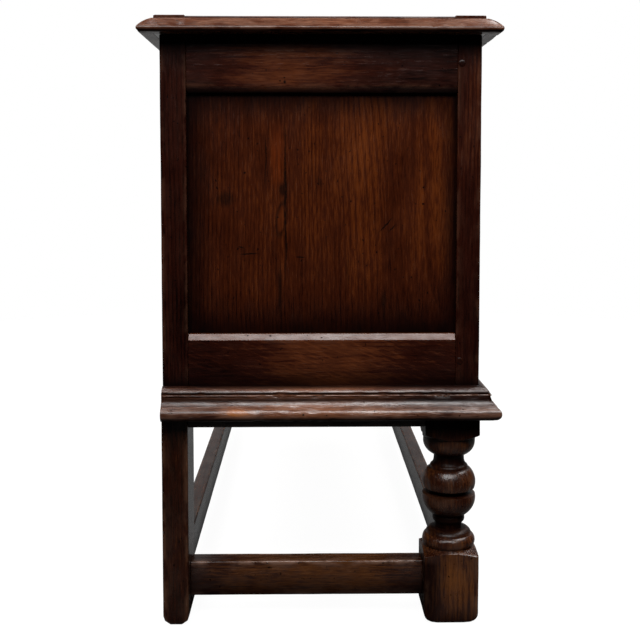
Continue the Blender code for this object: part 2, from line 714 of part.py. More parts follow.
def base_outline():
    """Section of the base moulding as (reach out from the stand, height) points: nose, cove, bead, slope."""
    bottom = STAND_TOP - BASE_MOULDING_DROP
    top = STAND_TOP + BASE_MOULDING_LAP
    nose_middle = (BASE_MOULDING_REACH - BASE_NOSE_RADIUS, bottom + BASE_NOSE_RADIUS)
    points = arc(nose_middle, (BASE_NOSE_RADIUS, BASE_NOSE_RADIUS), -74, BASE_NOSE_TURN, 9)

    # The hollow goes on from the nose and ends upright under the bead
    nose_top = points[-1]
    cove_top = bottom + BASE_COVE_RISE
    cove_end = BASE_NOSE_TURN + 180
    cove_width = (nose_top[0] - BASE_COVE_REACH) / (1 + math.cos(math.radians(cove_end)))
    cove_height = (nose_top[1] - cove_top) / math.sin(math.radians(cove_end))
    cove_middle = (BASE_COVE_REACH + cove_width, cove_top)
    points += arc(cove_middle, (cove_width, cove_height), cove_end, 180, 7)[1:]

    bead = BASE_BEAD_HEIGHT / 2
    bead_top = cove_top + BASE_BEAD_HEIGHT
    points += arc((BASE_COVE_REACH - BASE_BEAD_INSET, cove_top + bead), (bead, bead), -60, 70, 4)
    lip = BASE_COVE_REACH - BASE_QUIRK_DEPTH
    points += [(lip, bead_top), (lip + BASE_SLOPE_STEP, bead_top + BASE_QUIRK_DEPTH)]
    points += [(0.0, top - END_GAP), (FIT - STAND_PROUD, top)]
    points += [(FIT - STAND_PROUD, STAND_TOP + FIT), (FIT, STAND_TOP + FIT), (FIT, bottom)]
    return points


def base_mouldings(oak, chest):
    """Three strips round the front and ends, mitred at the front corners and cut square at the back."""
    outline = base_outline()
    first = [(-HALF_STAND.x - reach + FIT, -HALF_STAND.y - reach, height) for reach, height in outline]
    second = [(HALF_STAND.x + reach - FIT, -HALF_STAND.y - reach, height) for reach, height in outline]
    shade_round(add_object("stand_front_moulding", bridged(first, second), oak, chest))
    for end, x_sign in (("left", -1), ("right", 1)):
        mitred = [(x_sign * (HALF_STAND.x + reach), -HALF_STAND.y - reach + FIT, z) for reach, z in outline]
        square = [(x_sign * (HALF_STAND.x + reach), HALF_CASE.y, z) for reach, z in outline]
        shade_round(add_object(f"stand_{end}_moulding", bridged(mitred, square), oak, chest))


# Lid


def lid_groove():
    """Heights of the groove that the lid's panels sit in."""
    top = LID_TOP - LID_PANEL_RECESS
    return top - PANEL_THICKNESS - FIT, top + FIT


def lid_member_outline(outer, inner, top, both=False):
    """Section of a lid member as (across, height) points, grooved on its inner edge, or on both."""
    low, high = lid_groove()
    inward = 1 if inner > outer else -1
    floor = inner - inward * GROOVE_DEPTH
    points = [(outer, LID_BOTTOM), (inner, LID_BOTTOM), (inner, low), (floor, low)]
    points += [(floor, high), (inner, high), (inner, top), (outer, top)]
    eases = {6: ARRIS, 7: ARRIS}
    if both:
        floor = outer + inward * GROOVE_DEPTH
        points += [(outer, high), (floor, high), (floor, low), (outer, low)]
    return softened(points, eases)


def lid_cross_member(name, outer, inner, top, both, tenon_length, oak, pivot):
    """An end rail or a muntin between the lid's stiles, tenoned into their grooves or deeper."""
    front = LID_FRONT_EDGE + LID_STILE_WIDTH + FIT
    back = LID_BACK_EDGE - LID_STILE_WIDTH - FIT
    outline = lid_member_outline(outer, inner, top, both)
    ring = [Vector((x, front, z)) for x, z in outline]
    member = add_object(name, extruded(ring, Vector((0.0, back - front, 0.0))), oak, pivot)
    low, high = lid_groove()
    inward = 1 if inner > outer else -1
    inner_edge = inner - inward * (GROOVE_DEPTH + TENON_SHOULDER)
    outer_edge = outer + inward * ((GROOVE_DEPTH if both else 0.0) + TENON_SHOULDER)
    heights = (low + FIT * 2, high - FIT * 2)
    tenons = []
    for face, outward in ((front, -1), (back, 1)):
        near = Vector((outer_edge, face - outward * OVERCUT, heights[0]))
        far = Vector((inner_edge, face + outward * tenon_length, heights[1]))
        tenons.append((near, far))
    join_boxes(member, tenons)
    return tenons


def lid_mortises(tenons):
    """Mortises that take the end rails' tenons past the bottom of a stile's groove."""
    boxes = []
    for near, far in tenons:
        side = 1 if far.x > near.x else -1
        along = 1 if far.y > near.y else -1
        first = near - Vector((side * FIT, along * OVERCUT, FIT))
        second = far + Vector((side * FIT, along * END_GAP, FIT))
        boxes.append((first, second))
    return boxes


def lid_panels(openings, oak, pivot):
    low, high = lid_groove()
    front = LID_FRONT_EDGE + LID_STILE_WIDTH - PANEL_TONGUE
    back = LID_BACK_EDGE - LID_STILE_WIDTH + PANEL_TONGUE
    for name, (start, end) in zip(LID_PANELS, openings):
        first = Vector((start - PANEL_TONGUE, front, low + FIT))
        second = Vector((end + PANEL_TONGUE, back, high - FIT))
        add_object(name, boxes_bmesh([(first, second)]), oak, pivot)


def lid_moulding_outline():
    """Section of the thumbnail edge as (reach out from the lid's frame, height) points."""
    nose = LID_BOTTOM + LID_NOSE_HEIGHT
    upper = LID_MOULDING_HEIGHT - LID_NOSE_HEIGHT
    under = LID_MOULDING_WIDTH - LID_NOSE_UNDERCUT
    points = [(FIT, LID_BOTTOM)]
    points += arc((under, nose), (LID_NOSE_UNDERCUT, LID_NOSE_HEIGHT), -90, 0, 4)
    sweep = arc((LID_MOULDING_FLAT, nose), (LID_MOULDING_WIDTH - LID_MOULDING_FLAT, upper), 0, 90, 8)
    return points + sweep[1:] + [(FIT, LID_BOTTOM + LID_MOULDING_HEIGHT)]


def lid_mouldings(oak, pivot):
    """Four strips planted round the lid's frame, mitred at the corners. Gives the back one."""
    outline = lid_moulding_outline()
    made = {}
    for side, edge_y, out_y in (("front", LID_FRONT_EDGE, -1), ("back", LID_BACK_EDGE, 1)):
        rings = []
        for sign in (-1, 1):
            rings.append(
                [(sign * (LID_HALF_LENGTH + reach - FIT), edge_y + out_y * reach, z) for reach, z in outline]
            )
        made[side] = add_object(f"lid_{side}_moulding", bridged(*rings), oak, pivot)
    for side, sign in (("left", -1), ("right", 1)):
        rings = []
        for edge, out_y in ((LID_FRONT_EDGE, -1), (LID_BACK_EDGE, 1)):
            rings.append(
                [(sign * (LID_HALF_LENGTH + reach), edge + out_y * (reach - FIT), z) for reach, z in outline]
            )
        made[side] = add_object(f"lid_{side}_moulding", bridged(*rings), oak, pivot)
    for strip in made.values():
        shade_round(strip)
    return made["back"]


def make_lid(oak, pivot):
    rail_inner = LID_HALF_LENGTH - LID_RAIL_WIDTH
    rail_tenons = []
    for end, sign in (("left", -1), ("right", 1)):
        rail_tenons += lid_cross_member(
            f"lid_{end}_rail",
            sign * LID_HALF_LENGTH,
            sign * rail_inner,
            LID_TOP - LID_RAIL_DROP,
            False,
            LID_TENON_LENGTH,
            oak["frame"],
            pivot,
        )
    width = (2 * rail_inner - len(LID_MUNTINS) * LID_RAIL_WIDTH) / len(LID_PANELS)
    starts = [-rail_inner + index * (width + LID_RAIL_WIDTH) for index in range(len(LID_PANELS))]
    openings = [(start, start + width) for start in starts]
    for name, before, after in zip(LID_MUNTINS, openings, openings[1:]):
        lid_cross_member(name, before[1], after[0], LID_TOP, True, PANEL_TONGUE, oak["frame"], pivot)
    lid_panels(openings, oak["panel"], pivot)
    stiles = {}
    edges = (
        ("front", LID_FRONT_EDGE, LID_FRONT_EDGE + LID_STILE_WIDTH, -1),
        ("back", LID_BACK_EDGE, LID_BACK_EDGE - LID_STILE_WIDTH, 1),
    )
    for side, outer, inner, out_y in edges:
        outline = lid_member_outline(outer, inner, LID_TOP)
        ring = [Vector((-LID_HALF_LENGTH, y, z)) for y, z in outline]
        bm = extruded(ring, Vector((2 * LID_HALF_LENGTH, 0.0, 0.0)))
        stiles[side] = add_object(f"lid_{side}_stile", bm, oak["frame"], pivot)
        mine = [pair for pair in rail_tenons if pair[1].y * out_y > 0]
        cut_boxes(stiles[side], lid_mortises(mine))
    return stiles["back"], lid_mouldings(oak["moulding"], pivot)


# Hinges


def knuckle_spans(middle):
    """The three stretches of a hinge's barrel, from left to right, with a running gap between them."""
    length = HINGE_LENGTH / HINGE_KNUCKLES
    start = middle - HINGE_LENGTH / 2
    spans = []
    for index in range(HINGE_KNUCKLES):
        spans.append((start + index * length + FIT / 2, start + (index + 1) * length - FIT / 2))
    return spans


def hinge_leaf(name, middle, heights, own, metal, parent):
    """A leaf with its knuckles, bored for the pin, drilled for screws."""
    front = HALF_CASE.y - HINGE_LEAF_WIDTH
    edge = HALF_CASE.y - HINGE_BARREL_CLEARANCE
    plate_ends = (middle - HINGE_LENGTH / 2, middle + HINGE_LENGTH / 2)
    low = Vector((plate_ends[0], front, heights[0]))
    high = Vector((plate_ends[1], edge, heights[1]))
    leaf = add_object(name, boxes_bmesh([(low, high)]), metal, parent)
    tongues = []
    for start, end in own:
        near = Vector((start + FIT, edge - OVERCUT, heights[0] + HINGE_TONGUE_RELIEF))
        far = Vector((end - FIT, HINGE_AXIS_Y, heights[1] - HINGE_TONGUE_RELIEF))
        tongues.append((near, far))
    join_boxes(leaf, tongues, "tongues")
    middles = [Vector(((start + end) / 2, HINGE_AXIS_Y, HINGE_AXIS_Z)) for start, end in own]
    length = own[0][1] - own[0][0]
    knuckles = cylinders_bmesh(middles, (1.0, 0.0, 0.0), HINGE_BARREL_RADIUS, length, HINGE_STEPS)
    combine(leaf, "UNION", add_helper(f"{name}_knuckles", knuckles))
    bore = HINGE_PIN_RADIUS + HINGE_BORE_CLEARANCE
    through = HINGE_LENGTH + 2 * OVERCUT
    axis_middle = Vector((middle, HINGE_AXIS_Y, HINGE_AXIS_Z))
    hole = cylinders_bmesh([axis_middle], (1.0, 0.0, 0.0), bore, through, HINGE_STEPS)
    combine(leaf, "DIFFERENCE", add_helper(f"{name}_bore", hole))
    pitch = HINGE_LENGTH / HINGE_SCREWS
    row = (front + edge) / 2
    holes = []
    for index in range(HINGE_SCREWS):
        across = row + HINGE_SCREW_STAGGER * (-1) ** index
        holes.append(Vector((plate_ends[0] + (index + 0.5) * pitch, across, sum(heights) / 2)))
    tall = HINGE_LEAF_THICKNESS + 2 * OVERCUT
    drilled = cylinders_bmesh(holes, (0.0, 0.0, 1.0), HINGE_SCREW_RADIUS, tall, HINGE_STEPS)
    combine(leaf, "DIFFERENCE", add_helper(f"{name}_screw_holes", drilled))
    return leaf


def make_hinges(back_rail, lid_stile, lid_moulding, metal, chest, pivot):
    """Two butt hinges, let into the back rail's top edge and the underside of the lid."""
    rail_recesses = []
    lid_recesses = []
    barrel_recesses = []
    reach = HINGE_BARREL_RADIUS + 2 * HINGE_BARREL_CLEARANCE
    for end, sign in (("left", -1), ("right", 1)):
        middle = sign * (HALF_CASE.x - HINGE_INSET)
        spans = knuckle_spans(middle)
        outer, inner = spans[0::2], spans[1::2]
        case_heights = (CASE_TOP - HINGE_LEAF_THICKNESS, CASE_TOP)
        lid_heights = (LID_BOTTOM, LID_BOTTOM + HINGE_LEAF_THICKNESS)
        hinge_leaf(f"{end}_hinge_case_leaf", middle, case_heights, outer, metal, chest)
        hinge_leaf(f"{end}_hinge_lid_leaf", middle, lid_heights, inner, metal, pivot)
        pin = cylinders_bmesh(
            [Vector((middle, HINGE_AXIS_Y, HINGE_AXIS_Z))],
            (1.0, 0.0, 0.0),
            HINGE_PIN_RADIUS,
            HINGE_LENGTH,
            HINGE_STEPS,
        )
        shade_round(add_object(f"{end}_hinge_pin", pin, metal, chest))
        start = middle - HINGE_LENGTH / 2 - FIT
        stop = middle + HINGE_LENGTH / 2 + FIT
        front = HALF_CASE.y - HINGE_LEAF_WIDTH - FIT
        back = HALF_CASE.y + OVERCUT
        floor = CASE_TOP - HINGE_LEAF_THICKNESS - FIT
        roof = LID_BOTTOM + HINGE_LEAF_THICKNESS + FIT
        rail_recesses.append((Vector((start, front, floor)), Vector((stop, back, CASE_TOP + OVERCUT))))
        lid_front = Vector((start, front, LID_BOTTOM - OVERCUT))
        lid_recesses.append((lid_front, Vector((stop, HINGE_AXIS_Y, roof))))
        barrel_low = Vector((start, HINGE_AXIS_Y - reach, LID_BOTTOM - 2 * OVERCUT))
        barrel_high = Vector((stop, HINGE_AXIS_Y + reach, HINGE_AXIS_Z + reach))
        barrel_recesses.append((barrel_low, barrel_high))
    cut_boxes(back_rail, rail_recesses, "hinge_recesses")
    cut_boxes(lid_stile, lid_recesses, "leaf_recesses")
    cut_boxes(lid_stile, barrel_recesses, "barrel_recesses")
    cut_boxes(lid_moulding, barrel_recesses, "barrel_recesses")


def add_pivot(name, location, parent=None):
    empty = bpy.data.objects.new(name, None)
    empty.location = location
    empty.parent = parent
    empty.empty_display_size = FOOT_BLOCK_HEIGHT
    bpy.context.scene.collection.objects.link(empty)
    return empty


def main():
    for obj in list(bpy.data.objects):
        bpy.data.objects.remove(obj, do_unlink=True)
    oak = {
        "frame": finish("oak_frame", (0.055, 0.020, 0.009), 0.38),
        "panel": finish("oak_panel", (0.085, 0.030, 0.010), 0.34),
        "moulding": finish("oak_moulding", (0.090, 0.038, 0.024), 0.32),
        "stand": finish("oak_stand", (0.050, 0.020, 0.010), 0.42),
        "inner": finish("oak_inside", (0.200, 0.105, 0.050), 0.75),
    }
    metal = finish("hinge_iron", (0.060, 0.055, 0.050), 0.45, 1.0)
    chest = add_pivot("chest", (0.0, 0.0, 0.0))
    pivot = add_pivot("lid_pivot", (0.0, HINGE_AXIS_Y, HINGE_AXIS_Z), chest)
    make_stand(oak, chest)
    back_rail = make_case(oak, chest)
    lid_stile, lid_moulding = make_lid(oak, pivot)
    make_hinges(back_rail, lid_stile, lid_moulding, metal, chest, pivot)


main()
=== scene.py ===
"""Oak blanket chest on a turned stand: worn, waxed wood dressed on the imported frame, seen at its left end."""

import json
import math
import random
import zlib

import bmesh
import bpy
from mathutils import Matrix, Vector, kdtree, noise


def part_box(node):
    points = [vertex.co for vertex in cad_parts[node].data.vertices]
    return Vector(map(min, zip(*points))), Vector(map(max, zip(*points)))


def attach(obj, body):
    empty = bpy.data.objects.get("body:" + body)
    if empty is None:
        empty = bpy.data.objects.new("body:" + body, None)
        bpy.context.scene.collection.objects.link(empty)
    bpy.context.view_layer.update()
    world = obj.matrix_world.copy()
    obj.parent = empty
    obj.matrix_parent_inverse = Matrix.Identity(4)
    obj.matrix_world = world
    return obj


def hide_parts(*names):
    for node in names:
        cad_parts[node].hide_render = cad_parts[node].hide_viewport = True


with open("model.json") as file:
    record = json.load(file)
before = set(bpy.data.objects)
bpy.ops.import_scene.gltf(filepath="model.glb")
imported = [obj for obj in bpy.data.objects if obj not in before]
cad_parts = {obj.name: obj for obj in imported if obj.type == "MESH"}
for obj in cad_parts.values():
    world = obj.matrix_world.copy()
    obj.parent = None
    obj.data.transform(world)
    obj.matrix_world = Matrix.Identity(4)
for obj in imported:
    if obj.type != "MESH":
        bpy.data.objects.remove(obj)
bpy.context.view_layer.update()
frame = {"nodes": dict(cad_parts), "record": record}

# Sizes of the joinery that the boxes of the frame's nodes don't give, in metres
FIT = 0.0003
END_GAP = 0.001
BEVEL_HEIGHT = 0.0084
BEVEL_DEPTH = 0.0043
CORNER_EASE = 0.003
ARRIS = 0.0012
RAIL_ARRIS = 0.6 * ARRIS
LID_TOP_ARRIS = 1.4 * ARRIS
LID_FOOT_ARRIS = 0.0006
PANEL_TONGUE = 0.008
PANEL_LAP = 0.0015
PANEL_TRIM = PANEL_TONGUE - PANEL_LAP
STAND_PROUD = 0.002
LEG_EASE = 0.003
FOOT_ROUND = 0.013
FOOT_END_ROUND = 0.0045
STRETCHER_EASE = 0.0018

# Turned front leg, from the foot block up
FOOT_BLOCK_HEIGHT = 0.0939
CUSHION_HEIGHT = 0.0191
CUSHION_RADIUS = 0.0357
CUSHION_ROUND = 0.009
DOME_HEIGHT = 0.0075
DOME_RADIUS = 0.0302
LOWER_NECK_HEIGHT = 0.0080
LOWER_NECK_RADIUS = 0.0178
RING_HEIGHT = 0.0095
RING_RADIUS = 0.0216
LOWER_BALL_HEIGHT = 0.0285
LOWER_BALL_PEAK = 0.005
BALL_RADIUS = 0.0358
BALL_HALF_HEIGHT = 0.0295
BALL_GROOVE_WIDTH = 0.0083
BALL_GROOVE_RADIUS = 0.0240
UPPER_BALL_HEIGHT = 0.0252
UPPER_BALL_PEAK = 0.008
COLLAR_HEIGHT = 0.0055
COLLAR_RADIUS = 0.0254
UPPER_NECK_HEIGHT = 0.013
UPPER_NECK_RADIUS = 0.0203
CUP_HEIGHT = 0.0255
CUP_BOWL_HEIGHT = 0.0195
CUP_RADIUS = 0.0348
CUP_BOWL_RADIUS = 0.0223
FOOT_SHOULDER_DROP = 0.0045
TOP_SHOULDER_RISE = 0.009

# Base moulding
BASE_MOULDING_REACH = 0.024
BASE_NOSE_RADIUS = 0.0090
BASE_NOSE_TURN = 50
BASE_COVE_RISE = 0.0307
BASE_COVE_REACH = 0.0115
BASE_BEAD_HEIGHT = 0.0028
BASE_BEAD_INSET = 0.0003
BASE_QUIRK_DEPTH = 0.0021
BASE_SLOPE_STEP = 0.0006
BASE_SLOPE_BULGE = 0.0014
BASE_SLOPE_STEPS = 6

# Thumbnail edge of the lid
LID_MOULDING_WIDTH = 0.0195
LID_MOULDING_HEIGHT = 0.0194
LID_MOULDING_FLAT = 0.0025
LID_NOSE_HEIGHT = 0.0050
LID_NOSE_RADIUS = 0.0044
LID_NOSE_TURN = 54
LID_SLOPE_BULGE = 0.0007
LID_SLOPE_STEPS = 8

# Hinges and their screws
HINGE_LENGTH = 0.064
HINGE_LEAF_THICKNESS = 0.002
HINGE_BARREL_REACH = 0.005
HINGE_SCREWS = 3
LEAF_SETBACK = 0.0005
SCREW_HEAD_RADIUS = 0.0019
SCREW_HEAD_DEPTH = 0.0011
SCREW_HEAD_STEPS = 8
SCREW_SLOT_WIDTH = 0.0006
SCREW_SLOT_DEPTH = 0.0004
SCREW_STAGGER = 0.0024
SCREW_TURN = 0.4
SCREW_TURN_STEP = 1.1

# Pegs in the joints of the frame
PEG_RADIUS = 0.0046
PEG_PROUD = 0.0008
PEG_INSET = 0.0053
PEG_DROP = 0.0359
PEG_RISE = 0.0403
PEG_SINK = 0.004
PEG_SIDES = 14
PEG_GRIME = 0.6

# Wear: how far the pale wear runs in from an edge, how much an eased edge wanders, and how uneven a face is
EDGE_FADE = 0.0045
EDGE_WANDER = 0.55
EDGE_WANDER_RATE = 14.0
STAND_WANDER = 0.45
FACE_WANDER = 0.00012
FACE_WANDER_RATE = 11.0
END_EASE = 0.0007
MOULDING_END_EASE = 0.0002

# How finely the shells are made
EDGE_SUPPORT = 0.004
EASE_STEPS = 4
SHARP_ANGLE = math.radians(38)
BAR_STEP = 0.011
LEG_STEP = 0.006
MOULDING_STEP = 0.0045

# Dents: how many, their radii and depths, and the least wear of the places that they fall on
LEG_DENTS = (34, (0.005, 0.012), (0.0004, 0.0012), 0.3)
LID_LONG_DENTS = (70, (0.004, 0.012), (0.0003, 0.0010), 0.5)
LID_END_DENTS = (26, (0.004, 0.012), (0.0003, 0.0010), 0.5)
BASE_DENTS = (26, (0.006, 0.014), (0.0002, 0.0005), 0.6)
BASE_NICKS = (40, (0.0025, 0.005), (0.0003, 0.0008), 0.75)
BASE_CHIPS = (26, (0.003, 0.006), (0.0006, 0.0012), 0.85)
BASE_RUBS = (110, (0.0022, 0.0045), (0.0003, 0.0007), 0.5)

# How many times the marks of an end one the front base moulding has
FRONT_MARKS = 3

# Growth rings: their width, and where the tree's heart lies from a section's middle, across and through
RING_SPACING = 0.0048
STILE_PITH = (0.050, 0.045)
RAIL_PITH = (0.020, 0.055)
MUNTIN_PITH = (0.030, 0.050)
PANEL_PITH = (0.150, 0.110)
FLOOR_PITH = (0.030, 0.120)
TURNED_PITH = (0.012, 0.048)
SAWN_PITH = (0.040, 0.050)
STAND_PITH = (0.030, 0.050)
BASE_PITH = (0.020, 0.050)
LID_BAR_PITH = (0.040, 0.060)
LID_PANEL_PITH = (0.120, 0.100)
LID_EDGE_PITH = (0.020, 0.050)

# How far painted shade reaches down from a member's top and up from its foot, and how far dirt and painted
# shade reach in from a panel's sides
STILE_SHADE = (0.05, 0.03)
RAIL_SHADE = {"top": (0.04, 0.95 * BEVEL_HEIGHT), "bottom": (0.0005, 0.040)}
PANEL_DIRT_AND_SHADE = ((0.030, 0.050), (0.060, 0.054))
LID_PANEL_DIRT_AND_SHADE = ((0.020, 0.020), (0.020, 0.020))

# Tones: where along some rails the rubbed stretch lies, and how dark or pale some whole pieces are
RAIL_GLOW = {"left_top_rail": 0.60, "left_bottom_rail": 0.48}
# The sill's bevel is paler: partly wear, partly a painted highlight
SILL_WEAR_AND_HIGHLIGHT = 0.74
# The stand rails, under the base moulding, are painted dark as shade
STAND_RAIL_SHADE = -1.0
LONG_STRETCHER_TONE = -0.4
END_STRETCHER_TONE = 0.5
LID_EDGE_TONE = -0.1

# Marks on the left end panel: each one's middle, half sizes, turn in degrees and strength
PANEL_MARKS = (
    ((0.0500, 0.574), (0.0065, 0.012), 0, 0.85),
    ((0.1240, 0.562), (0.0150, 0.013), 0, 0.7),
    ((0.0714, 0.612), (0.0010, 0.045), 0, 0.85),
    ((0.0533, 0.442), (0.0040, 0.040), 0, 0.7),
    ((0.0020, 0.585), (0.0035, 0.010), -20, 0.55),
    ((-0.0350, 0.470), (0.0030, 0.028), 0, 0.4),
    ((0.0935, 0.4905), (0.0150, 0.0014), -3, 0.95),
    ((0.1040, 0.4990), (0.0050, 0.0013), 12, 0.9),
    ((0.0270, 0.4860), (0.0075, 0.0014), 4, 0.95),
    ((-0.0845, 0.5280), (0.0150, 0.0014), -48, 1.0),
    ((-0.0930, 0.5240), (0.0080, 0.0012), -50, 0.9),
    ((-0.0820, 0.4300), (0.0050, 0.0150), 0, 0.6),
)

# Nail marks on the left end's top rail: each one's middle and half sizes
NAIL_MARKS = (
    ((0.0466, 0.7116), (0.0022, 0.0030)),
    ((0.0525, 0.7130), (0.0016, 0.0012)),
    ((0.0470, 0.7172), (0.0014, 0.0012)),
)

# Lamps: where each one stands and points, its size and its power
LAMPS = {
    "end_softbox": ((-2.28, 0.0, 2.2), (-0.6, 0.0, 0.5), (2.4, 0.9), 65),
    "far_end_softbox": ((2.28, 0.0, 2.2), (0.6, 0.0, 0.5), (2.4, 0.9), 65),
    "front_softbox": ((0.0, -1.25, 2.3), (0.0, -0.2, 0.45), (1.6, 1.2), 55),
    "back_softbox": ((0.0, 1.25, 2.3), (0.0, 0.2, 0.45), (1.6, 1.2), 55),
}

# Floor and camera
FLOOR_RADIUS = 2.6
FLOOR_SIDES = 96
CAMERA_PLACE = (-1.8744, 0.0218, 0.5871)
CAMERA_DIP = 3.566
CAMERA_TURN = 0.904
CAMERA_SENSOR = 36.0
CAMERA_LENS = 56.25
CAMERA_SHIFT = -0.1222

ENDS = ("left", "right")
SIDES = ("front", "back")
WHITE = (1.0, 1.0, 1.0, 1.0)

nodes = frame["nodes"]
slots = {part["node"]: part["material_slot"] for part in frame["record"]["subparts"]}
bodies = {}
for body_name, body_nodes in frame["record"]["behaviour"]["bodies"].items():
    for node_name in body_nodes:
        bodies[node_name] = body_name


def colour(red, green, blue):
    """A colour written as 0 to 255 on the screen, as the shader's linear values."""
    channels = []
    for value in (red, green, blue):
        part = value / 255
        channels.append(part / 12.92 if part <= 0.04045 else ((part + 0.055) / 1.055) ** 2.4)
    return (*channels, 1.0)


def seed_of(name):
    return zlib.crc32(name.encode())


def axes_of(letters):
    return ["xyz".index(letter) for letter in letters]


def other(run):
    """The level axis across a run along x or y."""
    return "y" if run == "x" else "x"


def middle_of(node):
    low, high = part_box(node)
    return (low + high) / 2


def smooth(value, low, high):
    """0 below low, 1 above high and a smooth rise between."""
    part = min(1.0, max(0.0, (value - low) / (high - low)))
    return part * part * (3 - 2 * part)


def fall(value, low, high):
    """1 below low, 0 above high and a smooth fall between."""
    return 1 - smooth(value, low, high)


def nearness(value, middle, reach):
    """1 at the middle, falling smoothly to 0 at the reach."""
    return fall(abs(value - middle), 0.0, reach)


def arc(middle, radii, first, last, steps):
    """Points along part of an ellipse, from the first to the last angle in degrees."""
    points = []
    for step in range(steps + 1):
        angle = math.radians(first + (last - first) * step / steps)
        points.append((middle[0] + radii[0] * math.cos(angle), middle[1] + radii[1] * math.sin(angle)))
    return points


def worn_points(points, wear):
    """Points of a section with their wear."""
    return [(*point, wear) for point in points]


# Shells: the points, faces and wear of a piece before it becomes a mesh


class Shell:
    def __init__(self):
        self.points = []
        self.inward = []
        self.closeness = []
        self.faces = []

    def add_ring(self, points, inward, closeness):
        start = len(self.points)
        self.points += points
        self.inward += inward
        self.closeness += closeness
        return list(range(start, len(self.points)))

    def join(self, rings):
        for first, second in zip(rings, rings[1:]):
            for index in range(len(first)):
                after = (index + 1) % len(first)
                self.faces.append((first[index], first[after], second[after], second[index]))
        self.faces.append(tuple(reversed(rings[0])))
        self.faces.append(tuple(rings[-1]))


def edge_fractions(length):
    """Where points lie along a section's side: near both corners and evenly between them."""
    if length < 3 * EDGE_SUPPORT:
        return [0.5] if length > EDGE_SUPPORT else []
    inner = length - 2 * EDGE_SUPPORT
    count = max(1, round(inner / BAR_STEP))
    return [(EDGE_SUPPORT + inner * index / count) / length for index in range(count + 1)]


def bar_section(corners, seed, wander):
    """Gives the function that makes the ring of a section with eased, unevenly worn corners."""
    count = len(corners)
    places = [Vector(corner[:2]) for corner in corners]
    following = places[1:] + places[:1]
    fractions = [edge_fractions((after - place).length) for place, after in zip(places, following)]

    def ring_at(along):
        exits = []
        entries = []
        for index, place in enumerate(places):
            wobble = noise.noise((along * EDGE_WANDER_RATE, index * 7.3, seed % 97))
            wobble += 0.5 * noise.noise((along * EDGE_WANDER_RATE * 3.1, index * 3.7, seed % 89))
            ease = corners[index][2] * max(0.35, 1 + wander * wobble)
            entries.append(place + (places[index - 1] - place).normalized() * ease)
            exits.append(place + (following[index] - place).normalized() * ease)
        ring = []
        for index, place in enumerate(places):
            worn = corners[index][2] > 0
            if worn:
                for step in range(EASE_STEPS + 1):
                    part = step / EASE_STEPS
                    point = entries[index] * (1 - part) ** 2 + place * 2 * part * (1 - part)
                    ring.append((*(point + exits[index] * part ** 2), 1.0))
            else:
                ring.append((*place, 0.0))
            after = (index + 1) % count
            side = entries[after] - exits[index]
            for part in fractions[index]:
                near = side.length * part if worn else EDGE_FADE
                far = side.length * (1 - part) if corners[after][2] > 0 else EDGE_FADE
                ring.append((*(exits[index] + side * part), max(0.0, 1 - min(near, far) / EDGE_FADE)))
        return ring

    return ring_at


def swept(ring_at, start, end, order, seed, step, end_ease):
    """A shell of rings from start to end, which are numbers or functions of a section's two values.
    The order names the axes of the run and of those two values."""
    along_axis, u_axis, v_axis = [Vector([float(letter == name) for name in "xyz"]) for letter in order]
    first_of = start if callable(start) else lambda u, v: start
    last_of = end if callable(end) else lambda u, v: end
    sample = ring_at(0.0)
    area = 0.0
    for (u, v, _), (next_u, next_v, _) in zip(sample, sample[1:] + sample[:1]):
        area += u * next_v - next_u * v
    turn = 1 if area > 0 else -1
    middle = Vector((sum(p[0] for p in sample), sum(p[1] for p in sample))) / len(sample)
    near = first_of(*middle)
    far = last_of(*middle)
    run = 1 if far > near else -1
    count = max(2, round(abs(far - near) / step))
    stations = [(0.0, 0.0, end_ease), (0.0, end_ease, 0.0)]
    stations += [(index / count, 0.0, 0.0) for index in range(1, count)]
    stations += [(1.0, -end_ease, 0.0), (1.0, 0.0, end_ease)]
    shell = Shell()
    rings = []
    for fraction, shift, inset in stations:
        ring = ring_at(near + (far - near) * fraction)
        placed = []
        inward = []
        for index, (u, v, _) in enumerate(ring):
            before = ring[index - 1]
            after = ring[(index + 1) % len(ring)]
            tangent = Vector((after[0] - before[0], after[1] - before[1])).normalized()
            inside = Vector((-tangent.y, tangent.x)) * turn
            along = first_of(u, v) + (last_of(u, v) - first_of(u, v)) * fraction + shift * run
            wave = noise.noise((along * FACE_WANDER_RATE, u * 24, v * 24 + seed % 83))
            flat = Vector((u, v)) + inside * (inset + FACE_WANDER * (0.5 + 0.5 * wave))
            placed.append(along_axis * along + u_axis * flat.x + v_axis * flat.y)
            inward.append(u_axis * inside.x + v_axis * inside.y)
        worn = [1.0 if inset else closeness for _, _, closeness in ring]
        rings.append(shell.add_ring(placed, inward, worn))
    shell.join(rings)
    return shell


def bar(node, corners, start, end, order, wander=EDGE_WANDER, step=BAR_STEP):
    """The shell of a straight member. A corner of its section is two values and how much it is eased."""
    seed = seed_of(node)
    return swept(bar_section(corners, seed, wander), start, end, order, seed, step, END_EASE)


def moulding(node, profile, edge, out, ends, run):
    """The shell of a moulding that stands out from an edge, to the side that out says."""
    section = [(edge + out * reach, height, wear) for reach, height, wear in profile]
    start, end = ends
    order = run + other(run) + "z"
    return swept(lambda along: section, start, end, order, seed_of(node), MOULDING_STEP, MOULDING_END_EASE)


def mitre(corner, onward, edge, out):
    """Gives where a mitred end lies: beyond its corner by as much as a point stands out from the edge."""
    return lambda u, v: corner + onward * out * (u - edge) - onward * FIT


def dent(shell, marks):
    """Presses round hollows into a shell. A mark is (middle, radius, depth)."""
    tree = kdtree.KDTree(len(shell.points))
    for index, point in enumerate(shell.points):
        tree.insert(point, index)
    tree.balance()
    for middle, radius, depth in marks:
        for _, index, distance in tree.find_range(middle, radius):
            share = (1 - (distance / radius) ** 2) ** 2
            shell.points[index] = shell.points[index] + shell.inward[index] * depth * share


